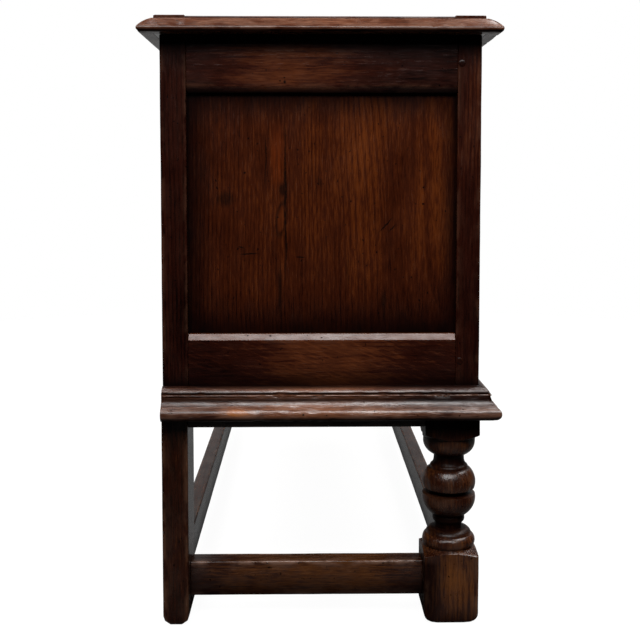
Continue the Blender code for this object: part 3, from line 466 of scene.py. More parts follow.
def random_marks(shell, seed, dents, times=1, within=None):
    """Marks scattered over the worn parts of a shell, or over those of them within a stretch."""
    count, radii, depths, closeness = dents
    chance = random.Random(seed)
    worn = [index for index, value in enumerate(shell.closeness) if value >= closeness]
    if within:
        worn = [index for index in worn if within(shell.points[index])]
    marks = []
    for _ in range(count * times):
        place = shell.points[chance.choice(worn)]
        marks.append((place, chance.uniform(*radii), chance.uniform(*depths)))
    return marks


# Pieces


def add_object(name, mesh):
    obj = bpy.data.objects.new(name, mesh)
    bpy.context.scene.collection.objects.link(obj)
    return obj


def new_object(name, points, faces):
    mesh = bpy.data.meshes.new(name)
    mesh.from_pydata(points, [], faces)
    bm = bmesh.new()
    bm.from_mesh(mesh)
    bmesh.ops.recalc_face_normals(bm, faces=bm.faces)
    bm.to_mesh(mesh)
    bm.free()
    return add_object(name, mesh)


def cut_mesh(obj, boxes):
    """Cuts boxes, each a lowest and a highest corner, out of a piece's mesh."""
    for low, high in boxes:
        cutter_mesh = bpy.data.meshes.new("cutter")
        bm = bmesh.new()
        bmesh.ops.create_cube(bm, size=1.0)
        for vertex in bm.verts:
            vertex.co = Vector([low[i] if vertex.co[i] < 0 else high[i] for i in range(3)])
        bm.to_mesh(cutter_mesh)
        bm.free()
        cutter = add_object("cutter", cutter_mesh)
        modifier = obj.modifiers.new("cut", "BOOLEAN")
        modifier.object = cutter
        modifier.solver = "EXACT"
        evaluated = obj.evaluated_get(bpy.context.evaluated_depsgraph_get())
        made = bpy.data.meshes.new_from_object(evaluated)
        obj.modifiers.clear()
        old = obj.data
        obj.data = made
        bpy.data.meshes.remove(old)
        bpy.data.objects.remove(cutter)
        bpy.data.meshes.remove(cutter_mesh)


def set_values(mesh, name, kind, values):
    attribute = mesh.attributes.get(name) or mesh.attributes.new(name, kind, "POINT")
    attribute.data.foreach_set("vector" if kind == "FLOAT_VECTOR" else "value", values)


def finish_mesh(mesh, material):
    mesh.shade_smooth()
    mesh.set_sharp_from_angle(angle=SHARP_ANGLE)
    mesh.materials.append(material)


def dress(node, shell, material, order, pith, grime_and_shade=None, tone=None, cuts=()):
    """Turns a shell into the piece that stands for a node.
    The order names the grain's axes: along, across, through. Grime, which holds painted shade as well as dirt,
    and tone are functions of a place."""
    middle = middle_of(node)
    axes = axes_of(order)
    slide = random.Random(seed_of(node)).uniform(0.0, 3.0)
    name = f"{node}_wood"
    obj = new_object(name, shell.points, shell.faces)
    set_values(obj.data, "edge", "FLOAT", shell.closeness)
    if cuts:
        cut_mesh(obj, cuts)
        obj.data.name = name
    mesh = obj.data
    grain = []
    for vertex in mesh.vertices:
        offset = [vertex.co[axis] - middle[axis] for axis in axes]
        grain += [offset[0] + slide, offset[1] + pith[0], offset[2] + pith[1]]
    set_values(mesh, "grain", "FLOAT_VECTOR", grain)
    for attribute, value_at in (("grime_and_shade", grime_and_shade), ("tone", tone)):
        values = [value_at(vertex.co) if value_at else 0.0 for vertex in mesh.vertices]
        set_values(mesh, attribute, "FLOAT", values)
    finish_mesh(mesh, material)
    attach(obj, bodies[node])
    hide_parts(node)


def add_extra(name, points, faces, material, body, slot, grime_and_shade=0.0):
    """Adds a piece that stands for no node."""
    obj = new_object(name, points, faces)
    mesh = obj.data
    grain = []
    for vertex in mesh.vertices:
        grain += list(vertex.co)
    set_values(mesh, "grain", "FLOAT_VECTOR", grain)
    for attribute, value in (("edge", 0.0), ("grime_and_shade", grime_and_shade), ("tone", 0.0)):
        set_values(mesh, attribute, "FLOAT", [value] * len(mesh.vertices))
    finish_mesh(mesh, material)
    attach(obj, body)


# Finishes


class Graph:
    """A material's shader nodes, joined as they are added."""

    def __init__(self, tree):
        self.tree = tree
        tree.nodes.clear()

    def node(self, kind, inputs, **settings):
        made = self.tree.nodes.new(kind)
        for name, value in settings.items():
            setattr(made, name, value)
        for key, value in inputs.items():
            if isinstance(value, bpy.types.NodeSocket):
                self.tree.links.new(value, made.inputs[key])
            else:
                made.inputs[key].default_value = value
        return made

    def attribute(self, name, output="Fac"):
        return self.node("ShaderNodeAttribute", {}, attribute_name=name).outputs[output]

    def place(self, kind="Object"):
        return self.node("ShaderNodeTexCoord", {}).outputs[kind]

    def math(self, operation, first, second=0.0, third=0.0, clamp=False):
        inputs = {0: first, 1: second, 2: third}
        return self.node("ShaderNodeMath", inputs, operation=operation, use_clamp=clamp).outputs[0]

    def times(self, first, second, clamp=False):
        return self.math("MULTIPLY", first, second, clamp=clamp)

    def most(self, first, second):
        return self.math("MAXIMUM", first, second)

    def add(self, base, value, factor):
        """The base plus the value times the factor."""
        return self.math("MULTIPLY_ADD", value, factor, base)

    def sway(self, base, value, factor):
        """The base moved up and down by a value that swings about one half."""
        return self.add(base, self.math("SUBTRACT", value, 0.5), factor)

    def away(self, value, middle):
        return self.math("ABSOLUTE", self.math("SUBTRACT", value, middle))

    def length(self, first, second):
        """The length of an arrow with these two parts."""
        return self.math("SQRT", self.add(self.times(second, second), first, first))

    def rise(self, value, low, high, least=0.0, most=1.0):
        """A smooth rise from least to most while the value goes from low to high."""
        inputs = {"Value": value, "From Min": low, "From Max": high, "To Min": least, "To Max": most}
        return self.node("ShaderNodeMapRange", inputs, interpolation_type="SMOOTHSTEP").outputs[0]

    def fall(self, value, low, high):
        return self.rise(value, low, high, 1.0, 0.0)

    def combine(self, along, across, through):
        return self.node("ShaderNodeCombineXYZ", {0: along, 1: across, 2: through}).outputs[0]

    def split(self, vector):
        return self.node("ShaderNodeSeparateXYZ", {0: vector}).outputs

    def scaled(self, vector, scales):
        return self.node("ShaderNodeVectorMath", {0: vector, 1: scales}, operation="MULTIPLY").outputs[0]

    def noise(self, vector, scales, detail=2.0, rough=0.5, output="Fac"):
        inputs = {"Vector": self.scaled(vector, scales), "Scale": 1.0, "Detail": detail, "Roughness": rough}
        return self.node("ShaderNodeTexNoise", inputs).outputs[output]

    def mix(self, factor, first, second):
        inputs = {0: factor, 6: first, 7: second}
        return self.node("ShaderNodeMix", inputs, data_type="RGBA").outputs[2]

    def ramp(self, value, stops):
        made = self.node("ShaderNodeValToRGB", {0: value})
        elements = made.color_ramp.elements
        while len(elements) < len(stops):
            elements.new(0.5)
        for element, (position, shade) in zip(elements, stops):
            element.position = position
            element.color = shade
        return made.outputs[0]

    def bump(self, height, strength, distance):
        inputs = {"Strength": strength, "Distance": distance, "Height": height}
        return self.node("ShaderNodeBump", inputs).outputs[0]

    def surface(self, inputs):
        """Ends the graph with a surface of these values."""
        shader = self.node("ShaderNodeBsdfPrincipled", inputs)
        self.node("ShaderNodeOutputMaterial", {"Surface": shader.outputs[0]})


def new_material(name):
    material = bpy.data.materials.new(name)
    material.use_nodes = True
    return material, Graph(material.node_tree)


def oak_rings(graph, grain):
    """Growth rings: 0 at the start of each year's growth and 1 at its end, bent as a grown tree is."""
    _, across, through = graph.split(grain)
    bend = graph.split(graph.noise(grain, (1.7, 7.0, 7.0), 1.0, output="Color"))
    ripple = graph.noise(grain, (7.0, 40.0, 40.0))
    reach = graph.length(graph.sway(across, bend[0], 0.034), graph.sway(through, bend[1], 0.034))
    reach = graph.sway(reach, ripple, 0.0024)
    return graph.math("FRACT", graph.math("DIVIDE", reach, RING_SPACING))


def ray_flecks(graph, grain):
    """Pale ray flecks that lie aslant to the grain."""
    along, across, through = graph.split(grain)
    slant = graph.add(across, along, -0.36)
    lean = graph.add(along, across, 0.36)
    ray = graph.noise(graph.combine(lean, slant, through), (46.0, 330.0, 110.0), 2.0, 0.6)
    return graph.rise(ray, 0.48, 0.68)


def nicks(graph, grain, edge):
    """Small dark nicks, here and there on the faces and more of them along the edges."""
    inputs = {"Vector": graph.scaled(grain, (75.0, 130.0, 130.0)), "Scale": 1.0}
    cells = graph.node("ShaderNodeTexVoronoi", inputs).outputs
    chance = graph.add(graph.split(cells["Color"])[0], edge, 0.12)
    return graph.times(graph.fall(cells["Distance"], 0.08, 0.17), graph.rise(chance, 0.955, 0.965))


def oak(
    name, shades, worn, roughness, shine=0.34, flecks=0.0, lines=0.2, bump=0.16, wear=0.5, contrast=1.0,
    figure=None,
):
    """Stained oak: rings, pores, ray flecks, blotches, dirt specks, dirt and painted shade in the corners and
    pale worn edges.
    """
    material, graph = new_material(name)
    grain = graph.attribute("grain", "Vector")
    edge = graph.attribute("edge")
    tone = graph.attribute("tone")
    speck = graph.noise(grain, (190.0, 190.0, 190.0), 1.0)
    # The grime attribute holds painted shade as well as dirt; random dark specks of dirt are added to it
    grime_and_shade = graph.most(graph.attribute("grime_and_shade"), graph.rise(speck, 0.70, 0.78, 0.0, 0.9))
    ring = oak_rings(graph, grain)
    broad = graph.noise(grain, (1.6, 13.0, 13.0), 3.0, 0.55)
    streak = graph.noise(grain, (10.0, 210.0, 210.0), 3.0, 0.65)
    blotch = graph.noise(grain, (14.0, 22.0, 22.0), 3.0, 0.55)
    dash = graph.noise(grain, (58.0, 560.0, 560.0), 2.0, 0.6)
    fine = graph.noise(grain, (190.0, 340.0, 340.0), 3.0, 0.65)
    rub = graph.noise(grain, (26.0, 60.0, 60.0), 3.0, 0.65)
    nick = nicks(graph, grain, edge)
    pores = graph.times(graph.rise(dash, 0.54, 0.70), graph.rise(ring, 0.0, 0.6, 1.0, 0.35))
    late = graph.times(graph.rise(ring, 0.45, 0.9), graph.rise(broad, 0.42, 0.58, 0.35, 1.0))

    shade = 0.56
    for value, factor in ((broad, 0.9), (streak, 0.7 * contrast), (blotch, 0.55), (dash, 1.3 * contrast)):
        shade = graph.sway(shade, value, factor)
    shade = graph.add(shade, late, -lines)
    if flecks:
        shade = graph.add(shade, ray_flecks(graph, grain), flecks)
    shade = graph.add(shade, tone, 0.5)
    dark, middle, light = shades
    base = graph.ramp(shade, [(0.0, dark), (0.5, middle), (1.0, light)])
    base = graph.mix(graph.times(pores, 0.55 * contrast), base, dark)
    bare = graph.sway(tone, streak, 1.6)
    base = graph.mix(graph.rise(bare, 1.1, 1.7), base, BARE_OAK)
    if figure:
        base = figure(graph, base)
    rubbed = graph.times(edge, graph.rise(rub, 0.42, 0.62), clamp=True)
    base = graph.mix(graph.times(rubbed, wear), base, worn)
    # Darkens towards near-black where that painted shade and dirt lie
    dirt_and_shade = graph.times(grime_and_shade, graph.rise(blotch, 0.2, 0.7, 0.8, 1.1), clamp=True)
    base = graph.mix(dirt_and_shade, base, DIRT_AND_SHADE)
    base = graph.mix(graph.times(nick, 0.85), base, NICK)

    gloss = graph.sway(roughness, blotch, 0.12)
    gloss = graph.add(gloss, pores, 0.12)
    gloss = graph.add(gloss, grime_and_shade, 0.10)
    height = graph.times(ring, 0.12)
    for value, factor in ((blotch, 0.5), (pores, -0.35), (streak, 0.35), (nick, -0.9), (fine, 0.5)):
        height = graph.add(height, value, factor)
    waxed = graph.rise(grime_and_shade, 0.0, 1.0, shine, 0.06)
    waxed = graph.times(waxed, graph.rise(rub, 0.3, 0.7, 0.7, 1.3))
    inputs = {"Base Color": base, "Roughness": gloss, "Normal": graph.bump(height, bump, 0.0008)}
    graph.surface({**inputs, "Specular IOR Level": waxed})
    return material


def spot(graph, across, up, middle, radii, turn=0):
    """How far places on the chest's end lie from a spot's middle. It is 1 on the spot's outline, which is an
    ellipse turned by an angle."""
    lean = math.radians(turn)
    across = graph.math("SUBTRACT", across, middle[0])
    up = graph.math("SUBTRACT", up, middle[1])
    first = graph.add(graph.times(across, math.cos(lean) / radii[0]), up, math.sin(lean) / radii[0])
    second = graph.add(graph.times(across, -math.sin(lean) / radii[1]), up, math.cos(lean) / radii[1])
    return graph.length(first, second)


def shaken_figure(graph, base):
    """The left end panel's figure: an old shake with knots on it, a red strip beside it, and scratches."""
    _, across, up = graph.split(graph.place())
    face = graph.combine(0.0, across, up)
    ragged = graph.noise(face, (1.0, 260.0, 90.0))
    wave = graph.noise(graph.combine(0.0, 0.0, up), (1.0, 1.0, 17.0))
    fray = graph.sway(across, ragged, 0.0035)
    swayed = graph.sway(fray, wave, 0.009)

    beside = graph.fall(graph.away(fray, 0.057), 0.0040, 0.0110)
    strip = graph.times(beside, graph.fall(graph.away(up, 0.614), 0.015, 0.055))
    streaks = graph.noise(face, (1.0, 700.0, 22.0), 3.0)
    strip = graph.times(strip, graph.rise(streaks, 0.35, 0.65, 0.08, 0.45))
    base = graph.mix(strip, base, RED_STRIP)
    almond = spot(graph, fray, up, (0.0515, 0.536), (0.0062, 0.021), 8)
    base = graph.mix(graph.rise(almond, 0.4, 0.95, 0.3, 0.0), base, ALMOND)
    rim = graph.times(graph.rise(almond, 0.7, 0.95), graph.fall(almond, 1.0, 1.35))
    shake = spot(graph, swayed, up, (0.0465, 0.560), (0.0022, 0.135))
    cracks = graph.times(graph.fall(shake, 0.35, 1.0), graph.rise(ragged, 0.3, 0.55, 0.45, 1.0))
    cracks = graph.most(cracks, graph.times(rim, 0.6))
    for middle, radii, turn, strength in PANEL_MARKS:
        mark = graph.rise(spot(graph, fray, up, middle, radii, turn), 0.3, 1.1, strength, 0.0)
        cracks = graph.most(cracks, mark)
    return graph.mix(graph.times(cracks, 0.9), base, OLD_MARK)


def nailed_figure(graph, base):
    """The left end's top rail has the dark marks of old nails."""
    _, across, up = graph.split(graph.place())
    for middle, radii in NAIL_MARKS:
        mark = graph.rise(spot(graph, across, up, middle, radii), 0.3, 1.2, 0.9, 0.0)
        base = graph.mix(mark, base, OLD_MARK)
    return base


def aged_steel(name):
    material, graph = new_material(name)
    mottle = graph.noise(graph.place(), (160.0, 160.0, 160.0), 4.0, 0.6)
    stops = [(0.35, colour(58, 50, 44)), (0.55, colour(104, 97, 90)), (0.7, colour(96, 66, 44))]
    gloss = graph.rise(mottle, 0.3, 0.7, 0.34, 0.62)
    inputs = {"Base Color": graph.ramp(mottle, stops), "Roughness": gloss, "Metallic": 1.0}
    graph.surface({**inputs, "Normal": graph.bump(mottle, 0.3, 0.0004)})
    return material


BARE_OAK = colour(168, 100, 48)
# The near-black that painted shade and dirt darken the wood to
DIRT_AND_SHADE = colour(7, 2, 2)
NICK = colour(7, 3, 2)
RED_STRIP = colour(118, 48, 10)
ALMOND = colour(96, 42, 12)
OLD_MARK = colour(10, 4, 2)
# The mouldings' pale worn colour; on the base moulding's worn edges it is partly a painted highlight
WORN_MOULDING = colour(142, 104, 84)
STAND_SHADES = (colour(13, 4, 1), colour(43, 16, 6), colour(100, 57, 23))

# What the finishes of each group of pieces share
FRAME = {
    "shades": (colour(13, 2, 1), colour(46, 16, 8), colour(94, 48, 24)),
    "worn": colour(104, 68, 50),
    "roughness": 0.21,
    "wear": 0.22,
}
PANEL = {
    "shades": (colour(24, 4, 1), colour(61, 23, 7), colour(106, 50, 15)),
    "worn": colour(104, 62, 38),
    "roughness": 0.22,
    "bump": 0.09,
    "contrast": 0.8,
}
MOULDING = {
    "shades": (colour(24, 8, 4), colour(62, 29, 16), colour(122, 75, 50)),
    "worn": WORN_MOULDING,
    "roughness": 0.27,
    "contrast": 0.8,
}
LID_EDGE = {**MOULDING, "shades": (colour(30, 11, 6), colour(76, 39, 22), colour(128, 82, 56))}
STAND = {"shades": STAND_SHADES, "worn": colour(112, 78, 56), "wear": 0.28, "contrast": 0.8}
# A stretcher's pale worn colour is partly wear and partly a painted highlight along its eased upper edge
STRETCHER = {"shades": STAND_SHADES, "worn": colour(158, 122, 104), "wear": 0.5, "contrast": 0.8}
INSIDE = {
    "shades": (colour(78, 54, 34), colour(120, 88, 58), colour(158, 122, 86)),
    "worn": colour(160, 126, 92),
    "roughness": 0.72,
    "lines": 0.3,
}
FRAME_OAK = oak("oak_frame_worn", **FRAME, contrast=0.6)
NAILED_OAK = oak("oak_frame_nailed", **FRAME, shine=0.42, contrast=0.7, figure=nailed_figure)
FLECKED_OAK = oak("oak_flecked_worn", **FRAME, shine=0.37, flecks=0.19, lines=0.12, contrast=0.6)
PANEL_OAK = oak("oak_panel_worn", **PANEL)
SHAKEN_OAK = oak("oak_panel_shaken", **PANEL, figure=shaken_figure)
MOULDING_OAK = oak("oak_moulding_worn", **MOULDING, shine=0.68, bump=0.75, wear=0.6)
LID_EDGE_OAK = oak("oak_lid_edge_worn", **LID_EDGE, shine=0.32, bump=0.35, wear=0.35)
STAND_OAK = oak("oak_stand_worn", **STAND, roughness=0.28, shine=0.42, bump=0.6)
SAWN_OAK = oak("oak_stand_sawn", **STAND, roughness=0.23, shine=0.30, bump=0.2)
STRETCHER_OAK = oak("oak_stretcher_worn", **STRETCHER, roughness=0.25, shine=0.52, bump=0.3)
INSIDE_OAK = oak("oak_inside_bare", **INSIDE)
HINGE_STEEL = aged_steel("hinge_steel_aged")


# Case


def rectangle(low, high, axes):
    """The corners of a box's section on two axes, in order round it."""
    u, v = axes_of(axes)
    return [(low[u], low[v]), (high[u], low[v]), (high[u], high[v]), (low[u], high[v])]


def plain_section(low, high, axes, ease):
    return worn_points(rectangle(low, high, axes), ease)


def span(first, second, axis):
    """Where a member that is fitted between two others starts and ends."""
    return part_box(first)[1][axis] + FIT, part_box(second)[0][axis] - FIT


def stile_tone_and_shade(node, low, high):
    """A stile is darker towards its foot, as painted shade. The back ones are darker all over."""
    base = -0.55 if node.startswith("back") else -0.08
    clear = low.z + 0.65 * (high.z - low.z)
    return lambda point: base - 0.45 * fall(point.z, low.z, clear)


def rail_tone(node, low, high, axis):
    """A rail is rubbed bright along its middle and dull towards its joints."""
    chance = random.Random(seed_of(node))
    length = high[axis] - low[axis]
    glow = low[axis] + length * RAIL_GLOW.get(node, chance.uniform(0.35, 0.65))
    reach = 0.42 * min(length, 0.36) + 0.3 * max(0.0, length - 0.36)
    bevelled = node.endswith("bottom_rail") and not node.startswith("back")

    def tone(point):
        # The sill's bevel is paler: partly wear, partly a painted highlight
        if bevelled and point.z > high.z - BEVEL_HEIGHT:
            return SILL_WEAR_AND_HIGHLIGHT
        return -0.55 + 1.15 * nearness(point[axis], glow, reach)

    return tone


def rail_painted_shade(low, high, reach_above, reach_below):
    """Painted shade under whatever lies over a rail and in the corner at its foot."""

    def grime_and_shade(point):
        inside = min(point.x - low.x, high.x - point.x, point.y - low.y, high.y - point.y)
        strength = 0.5 if inside > 0.002 else 0.98
        above = strength * fall(high.z - point.z, 0.2 * reach_above, reach_above)
        return max(above, 0.9 * fall(point.z - low.z, 0.2 * reach_below, reach_below))

    return grime_and_shade


def make_stiles():
    for end in ENDS:
        for side in SIDES:
            node = f"{side}_{end}_stile"
            low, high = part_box(node)
            corners = rectangle(low, high, "xy")
            outer = max(corners, key=lambda corner: corner[0] ** 2 + corner[1] ** 2)
            eased = [(*corner, CORNER_EASE if corner == outer else ARRIS) for corner in corners]
            shell = bar(node, eased, low.z, high.z, "zxy")
            # Painted shade under the lid and at the stile's foot
            grime_and_shade = rail_painted_shade(low, high, *STILE_SHADE)
            dress(node, shell, FRAME_OAK, "zxy", STILE_PITH, grime_and_shade, stile_tone_and_shade(node, low, high))


def rail_section(outer, inner, low, high, level):
    """A rail's section as (depth, height, ease) corners, with a steep bevel on its panel side."""
    lip = outer + BEVEL_DEPTH * (1 if inner > outer else -1)
    if level == "top":
        corners = [(outer, high), (outer, low + BEVEL_HEIGHT), (lip, low), (inner, low), (inner, high)]
    else:
        corners = [(inner, low), (inner, high), (lip, high), (outer, high - BEVEL_HEIGHT), (outer, low)]
    return worn_points(corners, RAIL_ARRIS)


def make_rails():
    joints = {
        "front": ("front_left_stile", "front_right_stile", "x"),
        "back": ("back_left_stile", "back_right_stile", "x"),
        "left": ("front_left_stile", "back_left_stile", "y"),
        "right": ("front_right_stile", "back_right_stile", "y"),
    }
    for side, (first, second, run) in joints.items():
        depth = other(run)
        run_axis, depth_axis = axes_of(run + depth)
        start, end = span(first, second, run_axis)
        for level in ("top", "bottom"):
            node = f"{side}_{level}_rail"
            low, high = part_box(node)
            if side == "back":
                corners = plain_section(low, high, depth + "z", RAIL_ARRIS)
            elif side == "right":
                corners = rail_section(high[depth_axis], low[depth_axis], low.z, high.z, level)
            else:
                corners = rail_section(low[depth_axis], high[depth_axis], low.z, high.z, level)
            shell = bar(node, corners, start, end, run + depth + "z")
            cuts = hinge_recesses("case") if node == "back_top_rail" else ()
            wood = FRAME_OAK if level == "top" else FLECKED_OAK
            if node == "left_top_rail":
                wood = NAILED_OAK
            # Painted shade under the lid and in the corner at the rail's foot
            grime_and_shade = rail_painted_shade(low, high, *RAIL_SHADE[level])
            tone = rail_tone(node, low, high, run_axis)
            dress(node, shell, wood, run + "z" + depth, RAIL_PITH, grime_and_shade, tone, cuts)


def make_muntins():
    for node in ("front_left_muntin", "front_right_muntin", "back_muntin"):
        low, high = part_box(node)
        side = node.split("_")[0]
        bottom, top = span(f"{side}_bottom_rail", f"{side}_top_rail", 2)
        bevel = BEVEL_HEIGHT if side == "front" else 0.0

        def scribe(v):
            return bevel * max(0.0, 1 - (v - low.y) / BEVEL_DEPTH)

        corners = plain_section(low, high, "xy", ARRIS)
        shell = bar(node, corners, lambda u, v: bottom - scribe(v), lambda u, v: top + scribe(v), "zxy")
        dress(node, shell, FRAME_OAK, "zxy", MUNTIN_PITH)


def border_dirt_and_shade(low, high, axes, reaches, strength):
    """Darkening round the border of a sunk panel: partly dark waxy dirt, partly painted shade in the recess.
    Each axis has a reach from its two sides."""
    picked = axes_of(axes)

    def grime_and_shade(point):
        clean = 1.0
        for axis, (from_low, from_high) in zip(picked, reaches):
            clean *= 1 - strength * fall(point[axis] - low[axis], 0.0, from_low) ** 1.4
            clean *= 1 - strength * fall(high[axis] - point[axis], 0.0, from_high) ** 1.4
        return 1 - clean

    return grime_and_shade


def panel_tone_and_shade(low, high):
    """A panel is darker towards its foot, partly from dirt and partly as painted shade, and an end panel
    towards its back too.
    """

    def tone(point):
        foot = fall(point.z, low.z, low.z + 0.5 * (high.z - low.z))
        back = smooth(point.y, low.y + 0.45 * (high.y - low.y), high.y) if high.y - low.y > 0.1 else 0.0
        return 0.08 - 0.5 * foot - 0.38 * back * (1 - foot)

    return tone


def panel_box(node, axes):
    """The corners of a panel without most of the tongue round it, which lies hidden in the grooves."""
    low, high = (corner.copy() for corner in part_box(node))
    for axis in axes_of(axes):
        low[axis] += PANEL_TRIM
        high[axis] -= PANEL_TRIM
    return low, high


def make_panels():
    for node, slot in slots.items():
        if slot != "oak_panel" or node.startswith("lid"):
            continue
        wide = "x" if node.startswith(SIDES) else "y"
        low, high = panel_box(node, wide + "z")
        order = "z" + wide + other(wide)
        shell = bar(node, plain_section(low, high, order[1:], 0.0), low.z, high.z, order)
        # Dirt and painted shade round the panel's sunk border
        grime_and_shade = border_dirt_and_shade(low, high, wide + "z", PANEL_DIRT_AND_SHADE, 0.9)
        wood = SHAKEN_OAK if node == "left_end_panel" else PANEL_OAK
        # The panel's foot is darker, partly as painted shade
        dress(node, shell, wood, order, PANEL_PITH, grime_and_shade, panel_tone_and_shade(low, high))


def make_floor_boards():
    gap = Vector((END_GAP, END_GAP, END_GAP))
    for index in range(1, 5):
        node = f"floor_board_{index}"
        low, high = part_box(node)
        shell = bar(node, plain_section(low, high, "xz", 0.0), low.y, high.y, "yxz")
        cuts = []
        for end in ENDS:
            for side in SIDES:
                stile_low, stile_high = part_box(f"{side}_{end}_stile")
                if stile_low.x < high.x and stile_high.x > low.x:
                    cuts.append((stile_low - gap, stile_high + gap))
        dress(node, shell, INSIDE_OAK, "yxz", FLOOR_PITH, cuts=cuts)


# Stand


def slope_points(first, last):
    """Points along a straight slope between two (radius, height) points."""
    steps = 8
    points = []
    for step in range(steps + 1):
        part = step / steps
        points.append((first[0] + (last[0] - first[0]) * part, first[1] + (last[1] - first[1]) * part))
    return points


def ball_points(bottom, top, peak):
    """A stretch of the leg's ball, which is widest at the height peak."""
    steps = 16
    points = []
    for step in range(steps + 1):
        height = bottom + (top - bottom) * step / steps
        drop = (height - peak) / BALL_HALF_HEIGHT
        points.append((BALL_RADIUS * math.sqrt(max(0.0, 1.0 - drop * drop)), height))
    return points


def turned_profile(corner):
    """The turned stretch of the front leg as (radius, height) points.
    The corner is how far its square blocks reach."""
    cushion = FOOT_BLOCK_HEIGHT
    dome = cushion + CUSHION_HEIGHT
    neck = dome + DOME_HEIGHT
    ring = neck + LOWER_NECK_HEIGHT
    ball = ring + RING_HEIGHT
    groove = ball + LOWER_BALL_HEIGHT
    upper_ball = groove + BALL_GROOVE_WIDTH
    collar = upper_ball + UPPER_BALL_HEIGHT
    upper_neck = collar + COLLAR_HEIGHT
    cup = upper_neck + UPPER_NECK_HEIGHT
    block = cup + CUP_HEIGHT
    points = slope_points((corner, cushion - FOOT_SHOULDER_DROP), (CUSHION_RADIUS, cushion))
    half_cushion = CUSHION_HEIGHT / 2
    cushion_middle = (CUSHION_RADIUS - CUSHION_ROUND, cushion + half_cushion)
    points += arc(cushion_middle, (CUSHION_ROUND, half_cushion), -50, 65, 12)
    points += arc((LOWER_NECK_RADIUS, dome), (DOME_RADIUS - LOWER_NECK_RADIUS, DOME_HEIGHT), 0, 75, 8)
    points += [(LOWER_NECK_RADIUS, neck), (LOWER_NECK_RADIUS, ring - LOWER_NECK_HEIGHT / 3)]
    half_ring = RING_HEIGHT / 2
    points += arc((RING_RADIUS - half_ring / 2, ring + half_ring), (half_ring / 2, half_ring), -80, 80, 8)
    points += ball_points(ball, groove, groove - LOWER_BALL_PEAK)
    points += [(BALL_GROOVE_RADIUS, groove + BALL_GROOVE_WIDTH / 3)]
    points += [(BALL_GROOVE_RADIUS, upper_ball - BALL_GROOVE_WIDTH / 3)]
    points += ball_points(upper_ball, collar, upper_ball + UPPER_BALL_PEAK)
    points += [(COLLAR_RADIUS, collar + COLLAR_HEIGHT / 4), (COLLAR_RADIUS, upper_neck - COLLAR_HEIGHT / 4)]
    hollow_top = cup - UPPER_NECK_HEIGHT / 4
    flare = COLLAR_RADIUS - UPPER_NECK_RADIUS
    points += arc((COLLAR_RADIUS, hollow_top), (flare, hollow_top - upper_neck), 260, 180, 8)
    points += [(UPPER_NECK_RADIUS, cup)]
    bowl_middle = (CUP_RADIUS - CUP_BOWL_RADIUS, cup + CUP_BOWL_HEIGHT)
    points += arc(bowl_middle, (CUP_BOWL_RADIUS, CUP_BOWL_HEIGHT), -66, 0, 12)
    return points + slope_points((CUP_RADIUS, block), (corner, block + TOP_SHOULDER_RISE))


def foot_inset(height, rounding):
    """How far a leg is worn in at its foot."""
    if height >= rounding:
        return 0.0
    return rounding - math.sqrt(rounding ** 2 - (rounding - height) ** 2)


def square_reach(angle, half, ease):
    """How far a square with eased corners reaches from its middle at an angle."""
    turn = (math.degrees(angle) + 45) % 90 - 45
    lean = math.radians(abs(turn))
    flat = half / math.cos(lean)
    if half * math.tan(lean) <= half - ease:
        return flat
    centre = (half - ease) * math.sqrt(2)
    away = math.radians(45) - lean
    return centre * math.cos(away) + math.sqrt(max(0.0, ease ** 2 - (centre * math.sin(away)) ** 2))


def leg_angles():
    """Angles round a leg, closer together at the corners of its blocks."""
    angles = []
    steps = 26
    for quarter in range(4):
        for step in range(steps):
            part = math.sin((step / steps * 2 - 1) * math.pi / 2)
            angles.append(math.radians(quarter * 90 + 45 * part))
    return angles


def turned_leg_shell(node):
    low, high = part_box(node)
    middle = middle_of(node)
    half = (high.x - low.x) / 2
    seed = seed_of(node)
    profile = turned_profile(half * math.sqrt(2))
    foot_top = profile[0][1]
    block_bottom = profile[-1][1]
    beyond = half * 2
    rows = [(beyond, FOOT_ROUND * (1 - math.cos(math.radians(15 * step)))) for step in range(6)]
    count = 7
    rows += [(beyond, FOOT_ROUND + (foot_top - FOOT_ROUND) * step / count) for step in range(count)]
    rows += profile
    count = 6
    rows += [(beyond, block_bottom + (high.z - block_bottom) * step / count) for step in range(1, count + 1)]
    shell = Shell()
    rings = []
    angles = leg_angles()
    for radius, height in rows:
        inset = foot_inset(height, FOOT_ROUND)
        widen = (half - foot_inset(height, FOOT_END_ROUND)) / (half - inset)
        points = []
        inward = []
        closeness = []
        for angle in angles:
            wobble = noise.noise((height * 40, math.cos(angle) * 2, math.sin(angle) * 2 + seed % 71))
            ease = LEG_EASE * (1 + 0.5 * wobble) + inset * 0.6
            reach = min(radius, square_reach(angle, half - inset, ease)) - FACE_WANDER * (0.5 + 0.5 * wobble)
            outward = Vector((math.cos(angle), math.sin(angle), 0.0))
            across = middle.x + outward.x * reach * widen
            points.append(Vector((across, middle.y + outward.y * reach, height)))
            inward.append(-outward)
            bulge = reach / half
            if radius > half * 1.05:
                closeness.append(max(smooth(bulge, 1.22, 1.36), 1.0 if inset > 0.004 else 0.0))
            else:
                closeness.append(0.5 * smooth(bulge, 0.85, 0.99))
        rings.append(shell.add_ring(points, inward, closeness))
    shell.join(rings)
    return shell


def back_leg_shell(node):
    low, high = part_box(node)
    middle = middle_of(node)
    half = (high - low) / 2
    shell = bar(node, plain_section(low, high, "xy", LEG_EASE), low.z, high.z, "zxy", step=LEG_STEP)
    for point in shell.points:
        inset = foot_inset(point.z, FOOT_ROUND)
        if inset:
            end_inset = foot_inset(point.z, FOOT_END_ROUND)
            point.x = middle.x + (point.x - middle.x) * (1 - end_inset / half.x)
            point.y = middle.y + (point.y - middle.y) * (1 - inset / half.y)
    return shell


